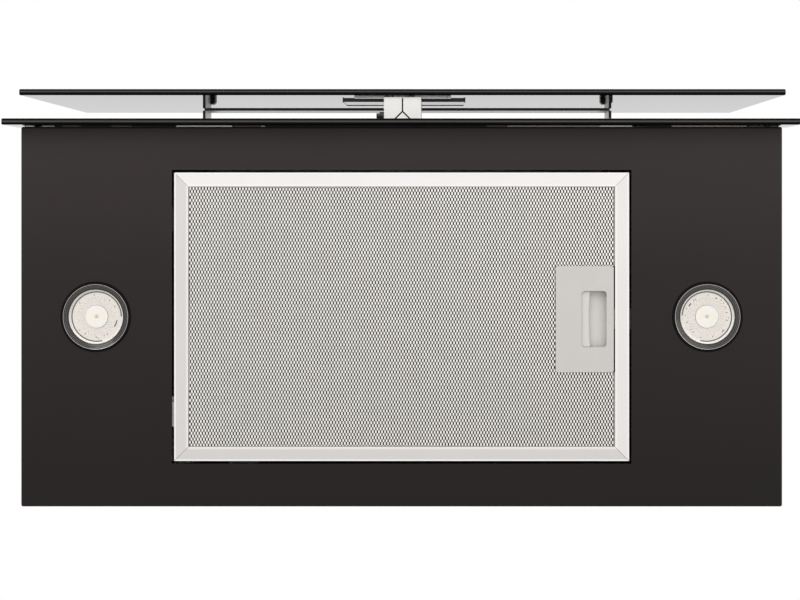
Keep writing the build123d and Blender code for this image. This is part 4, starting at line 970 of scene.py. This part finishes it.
# stretches without black tape, where painted glints of light show in the slit: start and end along
# X, in mm
GLINT_SPANS = {"glint": [(-287.2, -281.0), (-172.1, -129.4), (151.3, 175.9)],
               "glint_grey": [(-274.3, -265.1), (-107.3, -104.2), (80.3, 151.3),
                              (206.2, 263.4)],
               "glint_faint": [(-259.0, -245.3), (-221.6, -206.4), (-127.8, -108.0),
                               (65.1, 79.6), (264.9, 276.3), (281.7, 286.3)]}


def slit_glints():
    """Pale strips in the slit between the strip and the tray's front flange: painted glints of
    light through the slit, where there is no tape.
    """
    bm = bmesh.new()
    tones = tuple(GLINT_SPANS)
    for slot, key in enumerate(tones):
        for start, end in GLINT_SPANS[key]:
            add_box(bm, start * MM, end * MM, *GLINT_Y, *GLINT_Z, slot)
    make_object("slit_glints", bm, tones, "housing")


slit_glints()


# ---------------------------------------------------------------- stage and light
FLOOR_HALF = 5.0
FLOOR_Z = -1.8
WORLD_LEVEL = 0.71
# name, place, side length and power of each light
LIGHTS = [("key", (-0.9, -1.0, -1.2), 1.0, 7.0),
          ("fill", (1.1, -0.5, -1.1), 1.2, 4.0),
          ("front", (0.0, -1.5, -0.9), 1.2, 9.0),
          ("top", (0.5, -1.1, 1.5), 1.2, 9.0),
          ("back", (-0.6, 1.4, 0.9), 1.2, 6.0)]
LIGHTS_AIM = (0.0, 0.0, 0.05)


def stage_material(name, shown, level):
    """White to the camera and in reflections, plain pale for the light it gives."""
    s = Shader(name).set(Roughness=0.9, Specular_IOR_Level=0.1)
    s.bsdf.inputs["Base Color"].default_value = (level, level, level, 1)
    path = s.add("ShaderNodeLightPath")
    seen = s.math("MAXIMUM", path.outputs["Is Camera Ray"],
                  s.math("MAXIMUM", path.outputs["Is Glossy Ray"],
                         path.outputs["Is Transmission Ray"]))
    glow = s.add("ShaderNodeEmission", Color=(shown, shown, shown, 1), Strength=1.0)
    mix = s.add("ShaderNodeMixShader")
    s.link(seen, mix.inputs[0])
    s.link(s.bsdf.outputs[0], mix.inputs[1])
    s.link(glow.outputs[0], mix.inputs[2])
    s.link(mix.outputs[0], s.out.inputs["Surface"])
    return s.mat


def make_floor():
    bm = bmesh.new()
    bm.faces.new([bm.verts.new((x * FLOOR_HALF, y * FLOOR_HALF, FLOOR_Z))
                  for x, y in ((-1, -1), (1, -1), (1, 1), (-1, 1))])
    mesh = bpy.data.meshes.new("floor")
    bm.to_mesh(mesh)
    bm.free()
    mesh.materials.append(stage_material("floor_pale", 1.0, 0.8))
    floor = bpy.data.objects.new("floor", mesh)
    bpy.context.scene.collection.objects.link(floor)


def make_world():
    """White to the camera and in reflections, a plain soft level for the light it gives."""
    world = bpy.data.worlds.new("world")
    bpy.context.scene.world = world
    world.use_nodes = True
    tree = world.node_tree
    tree.nodes.clear()
    path, either, third, soft, white, mix, out = [
        tree.nodes.new(kind)
        for kind in ("ShaderNodeLightPath", "ShaderNodeMath", "ShaderNodeMath",
                     "ShaderNodeBackground", "ShaderNodeBackground", "ShaderNodeMixShader",
                     "ShaderNodeOutputWorld")]
    either.operation = third.operation = "MAXIMUM"
    soft.inputs["Color"].default_value = (0.98, 0.98, 1.0, 1)
    soft.inputs["Strength"].default_value = WORLD_LEVEL
    white.inputs["Color"].default_value = (1, 1, 1, 1)
    white.inputs["Strength"].default_value = 1.0
    tree.links.new(path.outputs["Is Camera Ray"], either.inputs[0])
    tree.links.new(path.outputs["Is Glossy Ray"], either.inputs[1])
    tree.links.new(either.outputs[0], third.inputs[0])
    tree.links.new(path.outputs["Is Transmission Ray"], third.inputs[1])
    tree.links.new(third.outputs[0], mix.inputs[0])
    tree.links.new(soft.outputs[0], mix.inputs[1])
    tree.links.new(white.outputs[0], mix.inputs[2])
    tree.links.new(mix.outputs[0], out.inputs["Surface"])


def area_light(name, place, size, power):
    data = bpy.data.lights.new(name, "AREA")
    data.shape = "SQUARE"
    data.size = size
    data.energy = power
    light = bpy.data.objects.new(name, data)
    light.location = place
    aim = Vector(LIGHTS_AIM) - Vector(place)
    light.rotation_euler = aim.to_track_quat("-Z", "Y").to_euler()
    bpy.context.scene.collection.objects.link(light)


make_floor()
make_world()
for light_values in LIGHTS:
    area_light(*light_values)

bpy.context.scene.view_settings.view_transform = "Standard"
